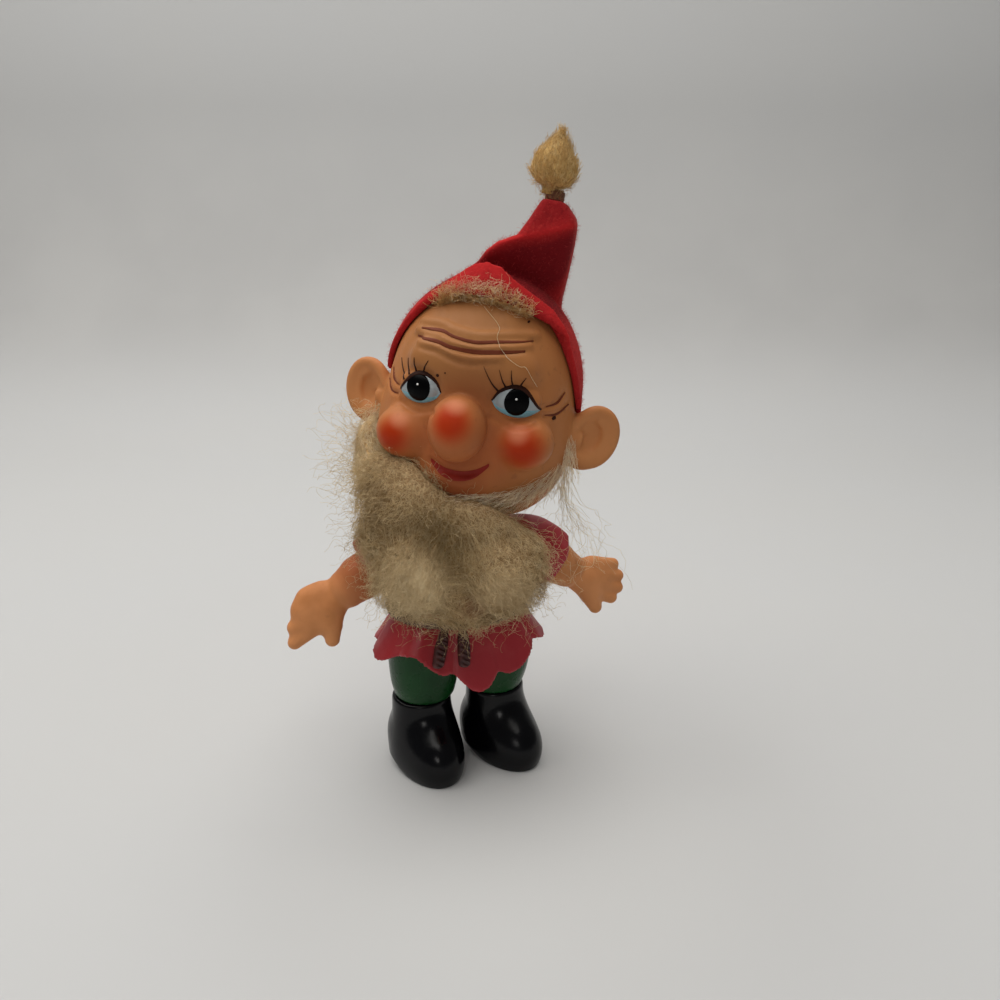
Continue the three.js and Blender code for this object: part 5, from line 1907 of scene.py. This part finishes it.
# %% Wool on the left cheek and the chin
CHEEK_EDGE = [
    (-24, -12.4), (-20, -14.2), (-17, -15.9), (-12.5, -15.6), (-8.5, -15.0), (-5.2, -16.6), (-2.8, -19.0),
    (0, -21.6), (5, -23.0), (11, -23.2), (16, -21.8),
]
CHEEK_FOOT = -27
CHEEK_SPAN = (-23, 15)
CHEEK_BACK = -6

skin_spots = head_points[head_faces].mean(1)
across, back, up = skin_spots.T
bare = up > drawn(across, CHEEK_EDGE)
in_span = (across > CHEEK_SPAN[0]) & (across < CHEEK_SPAN[1])
cheek_bed = head_faces[~bare & (up > CHEEK_FOOT) & in_span & (back < CHEEK_BACK)]
strands_on("cheek_hair", head_points, cheek_bed, (-0.1, -0.1, -0.2), beard_wool,
           Seed=25, Density=2.2e6, Length=0.0075, Lift=0.3, Stray=0.8, Crimp=0.006, Crimp_Scale=260.0,
           Wave=0.003, Thickness=0.00004, Hug=0.5, Steps=11)

# %% [markdown]
# ### Locks and loose hairs
# On the left a lock runs from the ear down into the beard. On the right only a thin line of pale hair
# follows the jaw. Both are combed along a line, so each strand takes the direction of that line where
# it is nearest. A few long hairs hang loose below the right ear, and one has strayed over the brow.

# %% Along a line
def gaps_to(points, run):
    """The distance of every point from every point of a line."""
    return np.linalg.norm(points[:, None] - run[None], axis=2)


def along_run(points, run):
    """The direction of a line at the place nearest to each point."""
    flow = np.gradient(run, axis=0)[gaps_to(points, run).argmin(1)]
    return flow / np.linalg.norm(flow, axis=1, keepdims=True)


trial_run = np.array([(0, 0, 0), (0, 0, -2)], float)
print("direction along a trial line that hangs down:", along_run(np.zeros((1, 3)), trial_run)[0])


# %% Lock below the left ear
LOCK = [(-26.2, -3.6, -13.5), (-26.2, -7.0, -16.6), (-25.2, -10.0, -20.0), (-21.5, -13.5, -25.5)]
LOCK_RADII = [1.0, 2.3, 3.1, 3.8]
LOCK_POINTS = 24
LOCK_MARGIN = 7
LOCK_CELL = 0.5
LOCK_MATTING = 0.6
LOCK_REACH = 5.0

lock_run = smooth_line(LOCK, LOCK_POINTS)
lock_clay = Clay(lock_run.min(0) - LOCK_MARGIN, lock_run.max(0) + LOCK_MARGIN, LOCK_CELL)
lock_clay.add(rod(lock_run, spread(LOCK_RADII, LOCK_POINTS)))
clear_of(lock_clay, head_clay, Matrix.Identity(4), SKIN_GAP)
lock_points, lock_normals, lock_faces = matted(lock_clay, LOCK_MATTING)
lock_left = lock_faces[lock_normals[lock_faces].mean(1)[:, 0] < 0]
lock_bed = head_faces[gaps_to(skin_spots, lock_run).min(1) < LOCK_REACH]
wool_piece("lock_core", lock_points, lock_faces, lock_wool, "sideburn_left")
strands_on("lock_strands", lock_points, lock_faces, 0.9 * along_run(lock_points, lock_run), pale_wool,
           Seed=31, Density=3.5e6, Length=0.009, Lift=0.22, Stray=0.55, Crimp=0.004, Crimp_Scale=300.0,
           Wave=0.003, Thickness=0.00004, Hug=0.6, Steps=10)
strands_on("lock_roots", head_points, lock_bed, 0.8 * along_run(head_points, lock_run), pale_wool,
           Seed=33, Density=2.2e6, Length=0.011, Lift=0.5, Stray=0.5, Crimp=0.007, Crimp_Scale=240.0,
           Wave=0.004, Thickness=0.000036, Hug=0.3, Steps=14)
strands_on("lock_flyaways", lock_points, lock_left, (-0.75, -0.1, 0.0), pale_wool,
           Seed=32, Density=9e5, Length=0.013, Lift=0.3, Stray=0.7, Crimp=0.016, Crimp_Scale=190.0,
           Wave=0.006, Thickness=0.000032, Shortest=0.3, Steps=26)

# %% Hair along the right jaw
JAW_LINE = [
    (26.0, -5.5, -9.0), (26.2, -7.0, -13.5), (23.5, -12.2, -17.0), (20.4, -15.8, -19.7),
    (16.2, -19.2, -21.6), (11.0, -22.0, -22.8), (5.0, -23.6, -24.0),
]
JAW_REACH = 3.6
JAW_OUTSIDE = 14

jaw_run = smooth_line(JAW_LINE, 30)
near_jaw = gaps_to(skin_spots, jaw_run).min(1) < JAW_REACH
jaw_bed = head_faces[near_jaw & (np.hypot(skin_spots[:, 0], skin_spots[:, 1]) > JAW_OUTSIDE)]
strands_on("jaw_hair", head_points, jaw_bed, 0.9 * along_run(head_points, jaw_run), jaw_wool,
           "sideburn_right", Seed=34, Density=2.0e6, Length=0.014, Lift=0.3, Stray=0.3, Crimp=0.005,
           Crimp_Scale=240.0, Wave=0.003, Thickness=0.00004, Hug=0.4, Steps=15)

# %% Loose hairs
LOOSE_ROOT = np.array([(27.0, -8.0, -15.0), (24.0, -11.5, -18.0), (25.5, -6.0, -20.0)])
STRAY_HAIR = [(0.4, 21.9), (4.8, 18.3), (5.2, 15.8), (7.6, 12.7), (11.0, 10.6), (12.7, 10.2), (15.4, 5.9)]
STRAY_LIFT = 0.3
STRAY_RADIUS = 0.045

strands_on("loose_hairs", LOOSE_ROOT, np.array([(0, 1, 2)]), (0.52, -0.25, -0.8), pale_wool,
           Seed=61, Density=2.6e6, Length=0.03, Lift=0.0, Stray=0.42, Crimp=0.013, Crimp_Scale=170.0,
           Wave=0.01, Thickness=0.000032, Shortest=0.2, Steps=40)
stray_points, stray_faces = tube(in_front(smooth_line(STRAY_HAIR, 60), STRAY_LIFT), STRAY_RADIUS, 5)
stray_hair = piece("stray_hair", placed(head_frame, stray_points), stray_faces, pale_wool)
stand_for(stray_hair, "head", "wool")

# %% [markdown]
# ### Fringe and nap
# A thin fringe is glued under the brim, and its frayed ends lie up over the felt like a veil. The felt
# itself has a short nap, which softens the edge of the cap. Each grows on the faces picked for it.

# %% Fringe
FRINGE_SPAN = (-12.5, 9.0)
FRINGE_FOOT = 12
ROOTS_SPAN = (-1.3, 0.8)
VEIL_REACH = [(-13, 0.3), (-9, 1.8), (-5, 3.8), (-1, 4.6), (2, 4.0), (5, 2.2), (8, 0.8), (10, 0.2)]
OUTSIDE_DEPTH = -0.5


def brow_spots(spots):
    """Which places are over the brow, and how far each is behind the brim's edge."""
    across, back, up = spots.T
    over_brow = (across > FRINGE_SPAN[0]) & (across < FRINGE_SPAN[1]) & (up > FRINGE_FOOT)
    return over_brow, back - drawn(up, brim_line)


over_brow, off_brim = brow_spots(skin_spots)
fringe_bed = head_faces[over_brow & (off_brim > ROOTS_SPAN[0]) & (off_brim < ROOTS_SPAN[1])]
strands_on("fringe_roots", head_points, fringe_bed, (0.2, -0.2, 0.5), fringe_wool, "forehead_hair",
           Seed=41, Density=2.4e7, Length=0.0048, Lift=0.5, Stray=0.7, Crimp=0.004, Crimp_Scale=420.0,
           Wave=0.002, Thickness=0.00004, Steps=8)
cap_spots = cap_points[cap_faces].mean(1)
cap_outside = cap_form.at(cap_spots) > OUTSIDE_DEPTH
over_brow, off_brim = brow_spots(cap_spots)
in_veil = (off_brim > 0) & (off_brim < drawn(cap_spots[:, 0], VEIL_REACH))
veil_bed = cap_faces[cap_outside & over_brow & in_veil]
strands_on("fringe_veil", cap_points, veil_bed, (0.25, 0.1, 0.3), pale_wool,
           Seed=43, Density=4.2e6, Length=0.008, Lift=0.2, Stray=1.0, Crimp=0.013, Crimp_Scale=300.0,
           Wave=0.003, Thickness=0.000026, Hug=0.5, Steps=16)

# %% Nap of the felt
NAP_RED = (188, 44, 44)
nap_finish = Finish("red_nap", NAP_RED, 0.9)
nap = strands_on("cap_nap", cap_points, cap_faces[cap_outside], (0, 0, 0.1), nap_finish,
                 Seed=45, Density=0.9e6, Length=0.0011, Lift=0.7, Stray=0.8, Crimp=0.001,
                 Crimp_Scale=900.0, Wave=0.0, Thickness=0.000025, Steps=4)

# %% [markdown]
# ### Tuft on the cap
# The tip of the cap ends in a pointed tuft of the same wool, bound with brown thread. The core is turned
# from an outline, the strands are combed up along it, and the thread is wound as a helix over a short
# neck.

# %% Tuft
TUFT_PLACE = (7.4, 0, 49.7)
TUFT_OUTLINE = [
    (-1.3, 2.5), (-0.5, 2.2), (0.4, 2.4), (1.4, 4.2), (4.0, 5.3), (7.2, 4.5), (9.8, 2.6), (11.6, 1.0),
    (12.8, 0.3),
]
TUFT_CELL = 0.4
TUFT_MATTING = 0.3
tuft_line = smooth_line(TUFT_OUTLINE, 40)


def tuft_level(x, y, z):
    """A round tuft, as wide as its outline at each height."""
    up = z - TUFT_PLACE[2]
    out = np.hypot(x - TUFT_PLACE[0], y) - drawn(up, tuft_line)
    return np.maximum(np.maximum(out, up - TUFT_OUTLINE[-1][0]), TUFT_OUTLINE[0][0] - up)


tuft_clay = Clay((-2, -9, 46), (17, 9, 66), TUFT_CELL)
tuft_clay.add(tuft_clay.everywhere(tuft_level))
tuft_points, tuft_normals, tuft_faces = matted(tuft_clay, TUFT_MATTING)
wool_piece("tuft_core", tuft_points, tuft_faces, tuft_wool, "pompon")
up_the_tuft = np.array((0, 0, 1.0)) - tuft_normals * tuft_normals[:, 2:]
strands_on("tuft_strands", tuft_points, tuft_faces, 0.8 * up_the_tuft, tuft_hair,
           Seed=51, Density=4.4e6, Length=0.0052, Lift=0.12, Stray=0.5, Crimp=0.003, Crimp_Scale=400.0,
           Wave=0.002, Thickness=0.000036, Hug=0.6, Steps=8)

# %% Thread round the neck of the tuft
TIE_PLACE = (8.8, 0, 47.5)
TIE_RADIUS = 1.95
TIE_TURNS = 4
TIE_WIDTH = 1.7
POINTS_PER_WIND = 24
THREAD_RADIUS = 0.4
TIE_CORE_RADIUS = 1.8
TIE_CORE_HEIGHTS = (-0.5, 0.4, 1.3, 2.4)
THREAD_BROWN = (112, 72, 48)
THREAD_FIBRE = (160, 122, 84)

wind = np.linspace(0, TIE_TURNS * 2 * math.pi, TIE_TURNS * POINTS_PER_WIND)
thread = np.stack([TIE_PLACE[0] + TIE_RADIUS * np.cos(wind), TIE_RADIUS * np.sin(wind),
                   TIE_PLACE[2] + TIE_WIDTH * wind / wind[-1]], -1)
thread_finish = Finish("brown_thread", THREAD_BROWN, 0.8)
thread_finish.coat(thread_finish.noise(1500, 0.4, 0.6), THREAD_FIBRE, 0.6)
tie_points, tie_faces = tube(thread, THREAD_RADIUS)
core_line = [np.array(TIE_PLACE) + (0, 0, height) for height in TIE_CORE_HEIGHTS]
core_points, core_faces = tube(core_line, TIE_CORE_RADIUS, 20)
tie_faces = tie_faces + [[i + len(tie_points) for i in face] for face in core_faces]
tie = piece("tuft_tie", placed(head_frame, np.vstack([tie_points, core_points])), tie_faces, thread_finish)
stand_for(tie, "head", "thread", "pompon_tie")

# %% [markdown]
